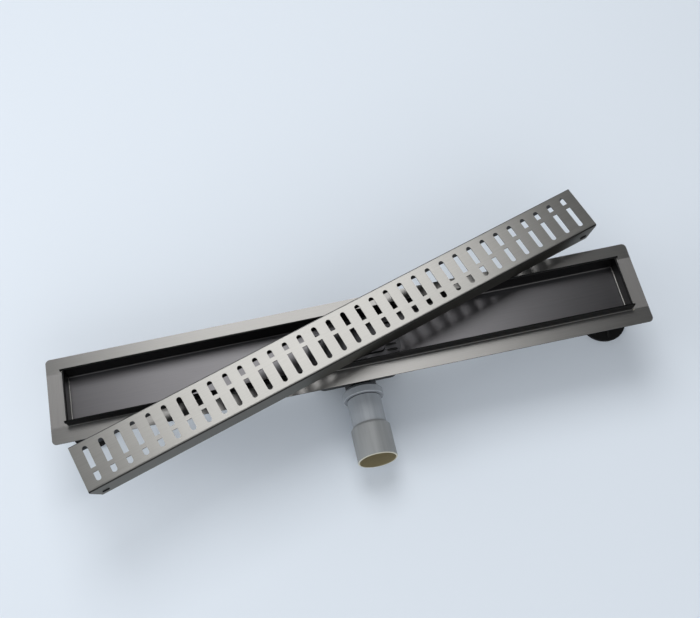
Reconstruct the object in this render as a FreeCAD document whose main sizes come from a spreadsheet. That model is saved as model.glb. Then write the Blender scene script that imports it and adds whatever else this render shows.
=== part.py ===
import FreeCAD, Part

import math
import os

import Sketcher

# A channel floor drain: a folded tray on two adjustable feet, a slotted cover that
# lies across its lips, and a side-outlet trap under the floor.
# X runs along the tray, Y across it, Z up. The origin lies on the standing surface,
# under the middle of the tray, and the outlet points towards -Y.

# Driving dimensions in millimetres, angles in degrees and counts.
DIMENSIONS = {
    # the tray, folded from sheet, with both ends welded in
    "tray_sheet": 1.2,
    "flange_reach_along": 21.5,
    "flange_reach_across": 21,
    "flange_corner": 5.5,
    "flange_bend": 1.0,
    "stand_height": 100,
    "opening_length": 701.6,
    "opening_width": 66.6,
    "lip_height": 12,
    "lip_overrun": 2.4,
    "hem_gap": 0.3,
    "floor_drop": 10.5,
    "floor_bend": 1.5,
    # the cover and how it lies on the lips
    "cover_sheet": 1.5,
    "cover_height": 24,
    "cover_bend": 2.5,
    "cover_end_gap": 1.3,
    "cover_side_gap": 1.8,
    "cover_turn": 17.6,
    "cover_shift_along": -6.4,
    "cover_shift_across": -3,
    "slot_inset": 16,
    "slot_pitch": 20.15,
    "slot_width": 6.5,
    "slot_length": 47,
    "bridge_width": 5.7,
    "bridge_lap": 0.4,
    "columns_per_sketch": 6,
    "wave_centre": -0.7,
    "wave_swing": 10.8,
    "wave_start_column": 2.4,
    "wave_columns": 20.2,
    "skirt_cut_length": 11.5,
    "skirt_cut_drop": 3.5,
    "lift_hole_length": 9.5,
    "lift_hole_height": 4.5,
    "lift_hole_inset": 17.5,
    "lift_hole_rise": 7.7,
    # the sieve in the floor opening
    "outlet_along": 5,
    "sieve_length": 115,
    "sieve_width": 49,
    "sieve_corner": 10,
    "sieve_sheet": 1,
    "sieve_lap": 3,
    "sieve_rim": 5,
    "sieve_pad_inset": 5.5,
    "sieve_pad_rise": 2.5,
    "sieve_pad_corner": 5,
    "sieve_pad_round": 0.8,
    "sieve_slot_length": 13.5,
    "sieve_slot_width": 3,
    "sieve_slot_pitch": 7.5,
    "sieve_slot_gap": 2,
    # the trap body and what clamps it to the floor
    "trap_flange_reach_along": 21,
    "trap_flange_reach_across": 9.5,
    "trap_flange_corner": 9,
    "trap_flange_depth": 4,
    "trap_wall": 2.5,
    "trap_taper": 4,
    "trap_clearance": 9,
    "recess_margin": 1,
    "recess_depth": 6,
    "ledge_width": 2,
    "gasket_depth": 2,
    "clamp_inset": 10,
    "clamp_stud_radius": 2.5,
    "clamp_stud_length": 14,
    "clamp_hole_play": 0.3,
    "clamp_nut_flats": 8,
    "clamp_nut_depth": 4,
    "thread_play": 0.05,
    # the removable funnel and its water cup
    "insert_play": 0.3,
    "funnel_seal_depth": 1.5,
    "funnel_plate": 2.5,
    "funnel_tube_length": 68,
    "funnel_tube_width": 16,
    "funnel_wall": 1.5,
    "funnel_tube_bottom": 30,
    "funnel_grip_width": 4,
    "funnel_grip_height": 4,
    "cup_length": 92,
    "cup_width": 27,
    "cup_wall": 1.8,
    "cup_bottom": 18,
    "cup_rim": 66,
    "cup_post_width": 8,
    "cup_corner": 9,
    # the outlet, from the trap's spigot to the open end
    "outlet_height": 40,
    "spigot_radius": 20,
    "spigot_wall": 2.5,
    "spigot_reach": 79,
    "socket_play": 0.15,
    "seal_play": 0.05,
    "collar_start": 42.5,
    "collar_length": 13.5,
    "collar_radius": 25.7,
    "collar_chamfer": 4.5,
    "collar_wall": 1.3,
    "collar_rim": 1.5,
    "collar_back": 0.5,
    "collar_root": 0.75,
    "pipe_radius": 21.8,
    "pipe_taper": 0.6,
    "pipe_shoulder": 93,
    "pipe_end": 115,
    "coupling_radius": 25,
    "coupling_shoulder": 4,
    "coupling_chamfer": 3,
    "coupling_lip": 0.5,
    "coupling_end": 139,
    "coupling_wall": 2,
    "coupling_stop": 2,
    # one foot
    "foot_inset": 6.3,
    "foot_stud_radius": 4,
    "foot_boss_radius": 7,
    "foot_boss_depth": 10,
    "foot_nut_flats": 13,
    "foot_nut_depth": 6.5,
    "foot_pad_radius": 30,
    "foot_pad_edge": 4,
    "foot_pad_crown": 6,
    "foot_hub_radius": 9,
    "foot_hub_height": 16,
    "foot_sole": 4,
    "foot_hub_flare": 1,
    "foot_rib_count": 8,
    "foot_rib_width": 2.5,
    "foot_rib_drop": 2,
    "foot_rib_inset": 3,
}

doc = FreeCAD.newDocument("floor_drain")
sheet = doc.addObject("Spreadsheet::Sheet", "sizes")
for row, (alias, number) in enumerate(DIMENSIONS.items(), start=1):
    sheet.set(f"A{row}", alias)
    sheet.set(f"B{row}", str(number))
    sheet.setAlias(f"B{row}", alias)
doc.recompute()


class Size:
    """A length as a number, and as the expression that binds it to the sheet."""

    def __init__(self, number, text=None):
        self.number = float(number)
        self.text = text or repr(self.number)

    def joined(self, other, sign, number):
        return Size(number, f"({self.text} {sign} {other.text})")

    def __add__(self, other):
        other = as_size(other)
        return self.joined(other, "+", self.number + other.number)

    def __sub__(self, other):
        other = as_size(other)
        return self.joined(other, "-", self.number - other.number)

    def __mul__(self, other):
        other = as_size(other)
        return self.joined(other, "*", self.number * other.number)

    def __truediv__(self, other):
        other = as_size(other)
        return self.joined(other, "/", self.number / other.number)

    def __neg__(self):
        return self * -1


def as_size(value):
    return value if isinstance(value, Size) else Size(value)


def size(alias):
    """One driving dimension, read from the sheet."""
    return Size(sheet.get(alias), f"sizes.{alias}")


def bind(thing, path, value):
    thing.setExpression(path, as_size(value).text)


def count(alias):
    return int(round(size(alias).number))


def how_many(room, pitch):
    """How many copies at a pitch fit in a length, the first one at its start."""
    share = room / pitch
    return Size(math.floor(share.number), f"floor({share.text})") + 1


# How far cutting outlines run past the faces that they trim.
PAST = 2
# The part of the hem's depth that each of its two bends takes.
HEM_SHARE = 0.48
# How near two places or directions count as the same, in mm or as a cosine.
NEAR = 0.01

X_AXIS = FreeCAD.Vector(1, 0, 0)
Y_AXIS = FreeCAD.Vector(0, 1, 0)
Z_AXIS = FreeCAD.Vector(0, 0, 1)


class Drawing:
    """A sketch on one of its body's own planes, with every outline held by bound distances."""

    def __init__(self, body, name, role, height=None):
        self.sketch = body.newObject("Sketcher::SketchObject", name)
        plane = next(item for item in body.Origin.OriginFeatures if item.Role == role)
        self.sketch.AttachmentSupport = [(plane, "")]
        self.sketch.MapMode = "FlatFace"
        if height is not None:
            bind(self.sketch, "AttachmentOffset.Base.z", height)
        self.edges = []
        self.rules = []
        self.bound = []

    def add_edge(self, edge):
        self.edges.append(edge)
        return len(self.edges) - 1

    def rule(self, kind, *where):
        self.rules.append(Sketcher.Constraint(kind, *where))

    def hold(self, kind, *where_and_size):
        """A distance or radius that follows its expression."""
        *where, length = where_and_size
        self.bound.append((len(self.rules), length.text))
        self.rule(kind, *where, length.number)

    def place(self, edge, end, across, up):
        """Hold one end of an edge at a bound place, measured from the sketch's origin."""
        self.hold("DistanceX", -1, 1, edge, end, across)
        self.hold("DistanceY", -1, 1, edge, end, up)

    def finish(self):
        """Draw all that was asked for, in one step."""
        self.sketch.addGeometry(self.edges)
        self.sketch.addConstraint(self.rules)
        for index, text in self.bound:
            self.sketch.setExpression(f"Constraints[{index}]", text)
        self.sketch.Visibility = False
        return self.sketch

    def outline(self, corners):
        """A closed outline of straight edges."""
        corners = [(as_size(across), as_size(up)) for across, up in corners]
        points = [FreeCAD.Vector(across.number, up.number, 0) for across, up in corners]
        edges = [
            self.add_edge(Part.LineSegment(start, end))
            for start, end in zip(points, points[1:] + points[:1])
        ]
        for edge, after in zip(edges, edges[1:] + edges[:1]):
            self.rule("Coincident", edge, 2, after, 1)
        for edge, (across, up) in zip(edges, corners):
            self.place(edge, 1, across, up)
        return self

    def rectangle(self, left, bottom, right, top):
        """A level rectangle, held at two opposite corners."""
        left, bottom, right, top = map(as_size, (left, bottom, right, top))
        corners = [(left, bottom), (right, bottom), (right, top), (left, top)]
        points = [FreeCAD.Vector(across.number, up.number, 0) for across, up in corners]
        edges = [
            self.add_edge(Part.LineSegment(start, end))
            for start, end in zip(points, points[1:] + points[:1])
        ]
        for edge, after in zip(edges, edges[1:] + edges[:1]):
            self.rule("Coincident", edge, 2, after, 1)
        for level_edge, upright_edge in (edges[:2], edges[2:]):
            self.rule("Horizontal", level_edge)
            self.rule("Vertical", upright_edge)
        self.place(edges[0], 1, left, bottom)
        self.place(edges[2], 1, right, top)
        return self

    def circle(self, across, up, radius):
        across, up, radius = as_size(across), as_size(up), as_size(radius)
        centre = FreeCAD.Vector(across.number, up.number, 0)
        edge = self.add_edge(Part.Circle(centre, Z_AXIS, radius.number))
        self.place(edge, 3, across, up)
        self.hold("Radius", edge, radius)
        return self

    def arc(self, across, up, radius, first, last):
        """A quarter or half circle whose centre and radius are bound."""
        centre = FreeCAD.Vector(across.number, up.number, 0)
        circle = Part.Circle(centre, Z_AXIS, radius.number)
        edge = self.add_edge(Part.ArcOfCircle(circle, math.radians(first), math.radians(last)))
        self.place(edge, 3, across, up)
        self.hold("Radius", edge, radius)
        return edge

    def rounded(self, across, up, length, width, radius):
        """A rectangle about a centre, with round corners."""
        across, up, radius = as_size(across), as_size(up), as_size(radius)
        reach_x = as_size(length) / 2 - radius
        reach_y = as_size(width) / 2 - radius
        quarters = [(1, 1, 0), (-1, 1, 90), (-1, -1, 180), (1, -1, 270)]
        arcs = [
            self.arc(across + reach_x * side, up + reach_y * rise, radius, start, start + 90)
            for side, rise, start in quarters
        ]
        self.join_arcs(arcs)
        return self

    def slot(self, across, up, length, width, upright=False):
        """An obround about a centre, lying along the first axis or standing along the second."""
        across, up, radius = as_size(across), as_size(up), as_size(width) / 2
        reach = as_size(length) / 2 - radius
        if upright:
            first = self.arc(across, up + reach, radius, 0, 180)
            second = self.arc(across, up - reach, radius, 180, 360)
        else:
            first = self.arc(across - reach, up, radius, 90, 270)
            second = self.arc(across + reach, up, radius, 270, 450)
        self.join_arcs([first, second])
        return self

    def join_arcs(self, arcs):
        """Straight edges from each arc's end to the next arc's start, tangent to both."""
        for arc, after in zip(arcs, arcs[1:] + arcs[:1]):
            run = Part.LineSegment(self.edges[arc].EndPoint, self.edges[after].StartPoint)
            line = self.add_edge(run)
            self.rule("Tangent", arc, 2, line, 1)
            self.rule("Tangent", line, 2, after, 1)


NODES = []


def node(thing, name):
    """Keep an object as one sub-part, under its own name."""
    thing.Label = name
    NODES.append(thing)
    return thing


def new_body(name):
    return node(doc.addObject("PartDesign::Body", name), name)


def volume_of(body):
    return body.Shape.Volume if body.Tip else 0.0


def feature(body, kind, drawing, name, grows, settings, bound):
    """A sketch-based feature that has to add or remove material."""
    before = volume_of(body)
    made = body.newObject(f"PartDesign::{kind}", name)
    made.Profile = drawing.finish()
    for prop, value in settings.items():
        setattr(made, prop, value)
    for prop, value in bound.items():
        bind(made, prop, value)
    doc.recompute()
    change = volume_of(body) - before
    if (change > 0) != grows or abs(change) < NEAR:
        raise ValueError(f"{name} changed the volume by {change:.3f}")
    return made


def pad(body, drawing, name, depth, settings=None):
    return feature(body, "Pad", drawing, name, True, settings or {}, {"Length": depth})


def pad_both_ways(body, drawing, name, depth):
    return pad(body, drawing, name, depth, {"SideType": "Symmetric"})


def pocket(body, drawing, name, depth, settings=None):
    return feature(body, "Pocket", drawing, name, False, settings or {}, {"Length": depth})


def cut_through(body, drawing, name):
    settings = {"Type": "ThroughAll", "SideType": "Symmetric"}
    return feature(body, "Pocket", drawing, name, False, settings, {})


def revolve(body, drawing, name, axis):
    settings = {"ReferenceAxis": (drawing.sketch, [axis]), "Angle": 360}
    return feature(body, "Revolution", drawing, name, True, settings, {})


def loft(body, kind, name, first, second):
    """A straight loft between two outlines that adds or removes material."""
    before = volume_of(body)
    made = body.newObject(f"PartDesign::{kind}", name)
    made.Profile = first.finish()
    made.Sections = [second.finish()]
    made.Ruled = True
    doc.recompute()
    if (volume_of(body) > before) != (kind == "AdditiveLoft"):
        raise ValueError(f"{name} went the wrong way")
    return made


def along(edge, axis):
    """Whether an edge is a straight one that runs along an axis."""
    if not isinstance(edge.Curve, Part.Line):
        return False
    return abs(edge.Curve.Direction.dot(axis)) > 1 - NEAR


def round_edges(body, name, radius, chosen):
    """Round the edges of the body's last feature that a test picks out."""
    base = body.Tip
    names = [
        f"Edge{index}"
        for index, edge in enumerate(base.Shape.Edges, start=1)
        if chosen(edge)
    ]
    made = body.newObject("PartDesign::Fillet", name)
    made.Base = (base, names)
    bind(made, "Radius", radius)
    doc.recompute()
    return made


def bend_edges(body, name, radius, axis, places):
    """Round the folds that run along an axis through the given places of the section."""

    def on_fold(edge):
        if not along(edge, axis):
            return False
        middle = edge.CenterOfMass
        across = middle.y if axis.x else middle.x
        return any(
            math.hypot(across - place.number, middle.z - height.number) < NEAR
            for place, height in places
        )

    return round_edges(body, name, radius, on_fold)


def position(body, along_x=0, across_y=0, up_z=0):
    bind(body, "Placement.Base.x", along_x)
    bind(body, "Placement.Base.y", across_y)
    bind(body, "Placement.Base.z", up_z)


# Levels of the tray, from the surface that the feet stand on.
thickness = size("tray_sheet")
flange_top = size("stand_height")
flange_under = flange_top - thickness
lip_top = flange_top + size("lip_height")
hem_under = lip_top - thickness
floor_top = flange_top - size("floor_drop")
floor_under = floor_top - thickness
floor_bend = size("floor_bend")
flange_bend = size("flange_bend")

# The sheet's faces from the opening outwards, across the tray and along it.
hem = thickness + size("hem_gap")
lip_depth = hem + thickness
hem_round = lip_depth * HEM_SHARE
inside_y = size("opening_width") / 2
wall_y = inside_y + thickness
slit_y = inside_y + hem
lip_y = inside_y + lip_depth
flange_y = lip_y + size("flange_reach_across")
inside_x = size("opening_length") / 2
wall_x = inside_x + thickness
slit_x = inside_x + hem
lip_x = inside_x + lip_depth
flange_x = lip_x + size("flange_reach_along")

outlet_along = size("outlet_along")
sieve_hole_length = size("sieve_length") - size("sieve_lap") * 2
sieve_hole_width = size("sieve_width") - size("sieve_lap") * 2
sieve_hole_corner = size("sieve_corner") - size("sieve_lap")


def hem_section(inside, wall, slit, lip, flange, bottom):
    """Half a section of the fold: wall, hem over the lip, and flange."""
    return [
        (inside, lip_top),
        (lip, lip_top),
        (lip, flange_top),
        (flange, flange_top),
        (flange, flange_under),
        (slit, flange_under),
        (slit, hem_under),
        (wall, hem_under),
        (wall, bottom),
    ]


def make_trough():
    """The long folded sheet: floor, both long walls with their hems, and both long flanges."""
    body = new_body("trough")
    right = [(inside_y, floor_top)]
    right += hem_section(inside_y, wall_y, slit_y, lip_y, flange_y, floor_under)
    left = [(-across, up) for across, up in reversed(right)]
    section = Drawing(body, "section", "YZ_Plane").outline(right + left)
    pad_both_ways(body, section, "fold", flange_x * 2)

    def both(across, up):
        return [(across, up), (-across, up)]

    inside_corner = both(inside_y, floor_top)
    outside_corner = both(wall_y, floor_under)
    hem_corners = both(inside_y, lip_top) + both(lip_y, lip_top)
    flange_inside = both(lip_y, flange_top)
    flange_outside = both(slit_y, flange_under)
    bend_edges(body, "floor_inside", floor_bend, X_AXIS, inside_corner)
    bend_edges(body, "floor_outside", floor_bend + thickness, X_AXIS, outside_corner)
    bend_edges(body, "hem_bend", hem_round, X_AXIS, hem_corners)
    bend_edges(body, "flange_inside", flange_bend, X_AXIS, flange_inside)
    bend_edges(body, "flange_outside", flange_bend + thickness, X_AXIS, flange_outside)

    lip_end = lip_x + size("lip_overrun")
    ends = Drawing(body, "end_gaps", "XY_Plane")
    for side in (1, -1):
        ends.outline(
            [
                (inside_x * side, -inside_y),
                (lip_end * side, -inside_y),
                (lip_end * side, -lip_y),
                ((flange_x + PAST) * side, -lip_y),
                ((flange_x + PAST) * side, lip_y),
                (lip_end * side, lip_y),
                (lip_end * side, inside_y),
                (inside_x * side, inside_y),
            ]
        )
    cut_through(body, ends, "end_gap_cut")

    # Each long lip's end rises past the bend, then leans out over the short flange strip.
    flat_ends = Drawing(body, "flat_ends", "XZ_Plane")
    for side in (1, -1):
        outer = (flange_x + PAST) * side
        flat_ends.outline(
            [
                (lip_x * side, flange_top),
                (lip_x * side, flange_top + flange_bend),
                (lip_end * side, lip_top),
                (lip_end * side, lip_top + PAST),
                (outer, lip_top + PAST),
                (outer, flange_top),
            ]
        )
        flat_ends.rectangle(lip_x * side, floor_under - PAST, outer, flange_under)
    cut_through(body, flat_ends, "flat_end_cut")

    seats = Drawing(body, "strip_seats", "XY_Plane", flange_top)
    for side in (1, -1):
        for rise in (1, -1):
            seats.rectangle(lip_x * side, inside_y * rise, lip_end * side, lip_y * rise)
    pocket(body, seats, "strip_seat_cut", thickness)

    opening = Drawing(body, "floor_opening", "XY_Plane")
    opening.rounded(outlet_along, 0, sieve_hole_length, sieve_hole_width, sieve_hole_corner)
    cut_through(body, opening, "floor_opening_cut")

    def at_corner(edge):
        middle = edge.CenterOfMass
        at_end = abs(abs(middle.x) - flange_x.number) < NEAR
        at_side = abs(abs(middle.y) - flange_y.number) < NEAR
        return along(edge, Z_AXIS) and at_end and at_side

    round_edges(body, "flange_corners", size("flange_corner"), at_corner)


def make_end_cap(name, side):
    """One welded end: wall, hem over the lip and the short flange strip."""
    body = new_body(name)
    corners = [(inside_x, floor_under)]
    corners += hem_section(inside_x, wall_x, slit_x, lip_x, flange_x, floor_under)
    section = Drawing(body, "section", "XZ_Plane")
    section.outline([(across * side, up) for across, up in corners])
    pad_both_ways(body, section, "fold", size("opening_width"))

    def here(across, up):
        return (across * side, up)

    hem_corners = [here(inside_x, lip_top), here(lip_x, lip_top)]
    bend_edges(body, "hem_bend", hem_round, Y_AXIS, hem_corners)
    bend_edges(body, "flange_inside", flange_bend, Y_AXIS, [here(lip_x, flange_top)])
    outer_bend = flange_bend + thickness
    bend_edges(body, "flange_outside", outer_bend, Y_AXIS, [here(slit_x, flange_under)])

    strip = Drawing(body, "strip", "XY_Plane", flange_under)
    strip.rectangle(lip_x * side, -lip_y, flange_x * side, lip_y)
    pad(body, strip, "flange_strip", thickness)


def bridge_place(column):
    """Where the bridge crosses one column of slots: the columns' bridges draw a wave."""
    turn = 360 * (column - size("wave_start_column").number) / size("wave_columns").number
    swing = size("wave_swing").number * math.cos(math.radians(turn))
    text = (
        "(sizes.wave_centre - sizes.wave_swing"
        f" * cos(360 * ({column} - sizes.wave_start_column) / sizes.wave_columns))"
    )
    return Size(size("wave_centre").number - swing, text)


def make_cover():
    """The slotted cover, a folded channel that lies turned across both long lips."""
    body = new_body("cover")
    sheet_depth = size("cover_sheet")
    height = size("cover_height")
    length = size("opening_length") - size("cover_end_gap") * 2
    half = size("opening_width") / 2 - size("cover_side_gap")
    inner = half - sheet_depth
    section = Drawing(body, "section", "YZ_Plane")
    section.outline(
        [
            (half, 0),
            (half, height),
            (-half, height),
            (-half, 0),
            (-inner, 0),
            (-inner, height - sheet_depth),
            (inner, height - sheet_depth),
            (inner, 0),
        ]
    )
    pad_both_ways(body, section, "fold", length)
    outer_bend = size("cover_bend")
    bend_edges(body, "bend_outside", outer_bend, X_AXIS, [(half, height), (-half, height)])
    under = height - sheet_depth
    bend_edges(body, "bend_inside", outer_bend - sheet_depth, X_AXIS, [(inner, under), (-inner, under)])

    end_cuts = Drawing(body, "skirt_ends", "XZ_Plane")
    holes = Drawing(body, "lift_holes", "XZ_Plane")
    for side in (1, -1):
        end = length / 2
        short = end - size("skirt_cut_length")
        start = height - size("skirt_cut_drop")
        corners = [(end + PAST, start), (end, start), (short, 0), (short, -PAST), (end + PAST, -PAST)]
        end_cuts.outline([(across * side, up) for across, up in corners])
        middle = (end - size("lift_hole_inset")) * side
        holes.slot(middle, size("lift_hole_rise"), size("lift_hole_length"), size("lift_hole_height"))
    cut_through(body, end_cuts, "skirt_end_cut")
    cut_through(body, holes, "lift_hole_cut")

    pitch = size("slot_pitch")
    columns = how_many(length - size("slot_inset") * 2, pitch)
    first = (columns - 1) * pitch / -2
    column = Drawing(body, "slot_column", "XY_Plane")
    column.slot(first, 0, size("slot_length"), size("slot_width"), upright=True)
    slot_cut = cut_through(body, column, "slot_cut")
    row = body.newObject("PartDesign::LinearPattern", "slot_row")
    row.Originals = [slot_cut]
    x_axis = next(item for item in body.Origin.OriginFeatures if item.Role == "X_Axis")
    row.Direction = (x_axis, [""])
    bind(row, "Length", (columns - 1) * pitch)
    bind(row, "Occurrences", columns)
    body.Tip = row
    doc.recompute()

    reach = size("slot_width") / 2 + size("bridge_lap")
    rise = size("bridge_width") / 2
    all_columns = range(int(columns.number))
    group = count("columns_per_sketch")
    for start in all_columns[::group]:
        bridges = Drawing(body, f"bridges_from_{start}", "XY_Plane", under)
        for index in all_columns[start : start + group]:
            middle = first + pitch * index
            level = bridge_place(index)
            bridges.rectangle(middle - reach, level - rise, middle + reach, level + rise)
        pad(body, bridges, f"bridge_row_from_{start}", sheet_depth)

    body.Placement = FreeCAD.Placement(
        FreeCAD.Vector(0, 0, 0), FreeCAD.Rotation(Z_AXIS, size("cover_turn").number)
    )
    bind(body, "Placement.Rotation.Angle", size("cover_turn"))
    position(body, size("cover_shift_along"), size("cover_shift_across"), lip_top)


def make_sieve():
    """The lift-out sieve on the floor opening, slotted at both ends of a raised pad."""
    body = new_body("sieve")
    depth = size("sieve_sheet")
    rise = size("sieve_pad_rise")
    plate = Drawing(body, "plate", "XY_Plane")
    plate.rounded(0, 0, size("sieve_length"), size("sieve_width"), size("sieve_corner"))
    pad(body, plate, "plate_pad", depth)
    length = size("sieve_slot_length")
    slot_band = size("sieve_rim") + length + size("sieve_slot_gap")
    pad_length = size("sieve_length") - slot_band * 2
    pad_width = size("sieve_width") - size("sieve_pad_inset") * 2
    raised = Drawing(body, "raised", "XY_Plane")
    raised.rounded(0, 0, pad_length, pad_width, size("sieve_pad_corner"))
    pad(body, raised, "raised_pad", rise + depth)
    hollow = Drawing(body, "hollow", "XY_Plane")
    hollow_corner = size("sieve_pad_corner") - depth
    hollow.rounded(0, 0, pad_length - depth * 2, pad_width - depth * 2, hollow_corner)
    pocket(body, hollow, "hollow_cut", rise, {"Reversed": True})

    pitch = size("sieve_slot_pitch")
    rows = how_many(size("sieve_width") - size("sieve_rim") * 2, pitch)
    for side, side_name in ((1, "right"), (-1, "left")):
        slots = Drawing(body, f"slots_{side_name}", "XY_Plane")
        middle = (pad_length / 2 + size("sieve_slot_gap") + length / 2) * side
        for row in range(int(rows.number)):
            level = pitch * row - pitch * (rows - 1) / 2
            slots.slot(middle, level, length, size("sieve_slot_width"))
        cut_through(body, slots, f"slot_cut_{side_name}")

    def on_pad_rim(edge):
        return abs(edge.BoundBox.ZMin - (rise + depth).number) < NEAR and edge.BoundBox.ZLength < NEAR

    round_edges(body, "pad_rim", size("sieve_pad_round"), on_pad_rim)
    position(body, outlet_along, 0, floor_top)


# Levels and outlines of the trap, from the floor's underside down.
trap_top = floor_under - size("gasket_depth")
trap_flange_under = trap_top - size("trap_flange_depth")
ledge = trap_top - size("recess_depth")
seal_top = ledge + size("funnel_seal_depth")
trap_bottom = size("trap_clearance")
recess_length = sieve_hole_length + size("recess_margin") * 2
recess_width = sieve_hole_width + size("recess_margin") * 2
recess_corner = sieve_hole_corner + size("recess_margin")
trap_flange_length = recess_length + size("trap_flange_reach_along") * 2
trap_flange_width = recess_width + size("trap_flange_reach_across") * 2
bowl_length = recess_length - size("ledge_width") * 2
bowl_width = recess_width - size("ledge_width") * 2
bowl_corner = recess_corner - size("ledge_width")
trap_wall = size("trap_wall")
trap_taper = size("trap_taper")


def clamp_places():
    """The four clamping points round the trap, as offsets from the outlet's middle."""
    half_x = trap_flange_length / 2 - size("clamp_inset")
    half_y = trap_flange_width / 2 - size("clamp_inset")
    return [(half_x * side, half_y * rise) for side in (1, -1) for rise in (1, -1)]


def add_clamp_holes(drawing):
    radius = size("clamp_stud_radius") + size("clamp_hole_play")
    for across, up in clamp_places():
        drawing.circle(across, up, radius)


def make_trap_gasket():
    """The flat gasket between the tray floor and the trap's flange."""
    body = new_body("trap_gasket")
    outline = Drawing(body, "outline", "XY_Plane", trap_top)
    outline.rounded(0, 0, trap_flange_length, trap_flange_width, size("trap_flange_corner"))
    outline.rounded(0, 0, recess_length, recess_width, recess_corner)
    add_clamp_holes(outline)
    pad(body, outline, "gasket", size("gasket_depth"))
    position(body, outlet_along)


def make_trap_body():
    """The moulded trap body: flange, ledge for the insert, tapered bowl and side spigot."""
    body = new_body("trap_body")
    outer_length = recess_length + trap_wall * 2
    outer_width = recess_width + trap_wall * 2
    outer_corner = recess_corner + trap_wall
    top = Drawing(body, "bowl_top", "XY_Plane", trap_flange_under)
    top.rounded(0, 0, outer_length, outer_width, outer_corner)
    base = Drawing(body, "bowl_base", "XY_Plane", trap_bottom)
    base.rounded(0, 0, outer_length - trap_taper * 2, outer_width - trap_taper * 2, outer_corner)
    loft(body, "AdditiveLoft", "bowl", top, base)

    flange = Drawing(body, "flange", "XY_Plane", trap_flange_under)
    flange.rounded(0, 0, trap_flange_length, trap_flange_width, size("trap_flange_corner"))
    add_clamp_holes(flange)
    pad(body, flange, "flange_pad", size("trap_flange_depth"))

    spigot = Drawing(body, "spigot", "XZ_Plane")
    spigot.circle(0, size("outlet_height"), size("spigot_radius"))
    pad(body, spigot, "spigot_pad", size("spigot_reach"))

    recess = Drawing(body, "recess", "XY_Plane", trap_top)
    recess.rounded(0, 0, recess_length, recess_width, recess_corner)
    pocket(body, recess, "recess_cut", size("recess_depth"))
    hollow_top = Drawing(body, "hollow_top", "XY_Plane", ledge)
    hollow_top.rounded(0, 0, bowl_length, bowl_width, bowl_corner)
    hollow_base = Drawing(body, "hollow_base", "XY_Plane", trap_bottom + trap_wall)
    base_length = bowl_length - trap_taper * 2 + size("ledge_width") * 2
    base_width = bowl_width - trap_taper * 2 + size("ledge_width") * 2
    hollow_base.rounded(0, 0, base_length, base_width, bowl_corner)
    loft(body, "SubtractiveLoft", "bowl_hollow", hollow_top, hollow_base)

    bore = Drawing(body, "bore", "XZ_Plane")
    bore.circle(0, size("outlet_height"), size("spigot_radius") - size("spigot_wall"))
    pocket(body, bore, "bore_cut", size("spigot_reach") + PAST, {"Reversed": True})
    position(body, outlet_along)


def make_funnel_seal():
    """The seal ring on the ledge, under the funnel's plate."""
    body = new_body("funnel_seal")
    play = size("insert_play")
    outline = Drawing(body, "outline", "XY_Plane", ledge)
    outline.rounded(0, 0, recess_length - play * 2, recess_width - play * 2, recess_corner - play)
    outline.rounded(0, 0, bowl_length, bowl_width, bowl_corner)
    pad(body, outline, "ring", size("funnel_seal_depth"))
    position(body, outlet_along)


def make_funnel():
    """The lift-out funnel: plate, dip tube and a grip across its mouth."""
    body = new_body("funnel")
    play = size("insert_play")
    wall = size("funnel_wall")
    tube_length = size("funnel_tube_length")
    tube_width = size("funnel_tube_width")
    plate = Drawing(body, "plate", "XY_Plane", seal_top)
    plate.rounded(0, 0, recess_length - play * 2, recess_width - play * 2, recess_corner - play)
    pad(body, plate, "plate_pad", size("funnel_plate"))
    tube = Drawing(body, "tube", "XY_Plane", size("funnel_tube_bottom"))
    tube.slot(0, 0, tube_length, tube_width)
    pad(body, tube, "tube_pad", seal_top - size("funnel_tube_bottom"))
    mouth = Drawing(body, "mouth", "XY_Plane")
    mouth.slot(0, 0, tube_length - wall * 2, tube_width - wall * 2)
    cut_through(body, mouth, "mouth_cut")
    grip = Drawing(body, "grip", "XY_Plane", seal_top)
    half = size("funnel_grip_width") / 2
    grip.rectangle(-half, tube_width / -2, half, tube_width / 2)
    pad(body, grip, "grip_pad", size("funnel_plate") + size("funnel_grip_height"))
    position(body, outlet_along)


def make_trap_cup():
    """The cup that holds the water seal, hung from the funnel's plate by four posts."""
    body = new_body("trap_cup")
    wall = size("cup_wall")
    length = size("cup_length")
    width = size("cup_width")
    corner = size("cup_corner")
    outside = Drawing(body, "outside", "XY_Plane", size("cup_bottom"))
    outside.rounded(0, 0, length, width, corner)
    pad(body, outside, "cup", size("cup_rim") - size("cup_bottom"))
    posts = Drawing(body, "posts", "XY_Plane", size("cup_bottom"))
    post = size("cup_post_width")
    for side in (1, -1):
        for rise in (1, -1):
            inner_x = (length / 2 - corner - post) * side
            outer_x = (length / 2 - corner) * side
            outer_y = width / 2 * rise
            posts.rectangle(inner_x, outer_y - wall * rise, outer_x, outer_y)
    pad(body, posts, "post_pads", seal_top - size("cup_bottom"))
    inside = Drawing(body, "inside", "XY_Plane", size("cup_rim"))
    inside.rounded(0, 0, length - wall * 2, width - wall * 2, corner - wall)
    pocket(body, inside, "cup_hollow", size("cup_rim") - size("cup_bottom") - wall)
    position(body, outlet_along)


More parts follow.
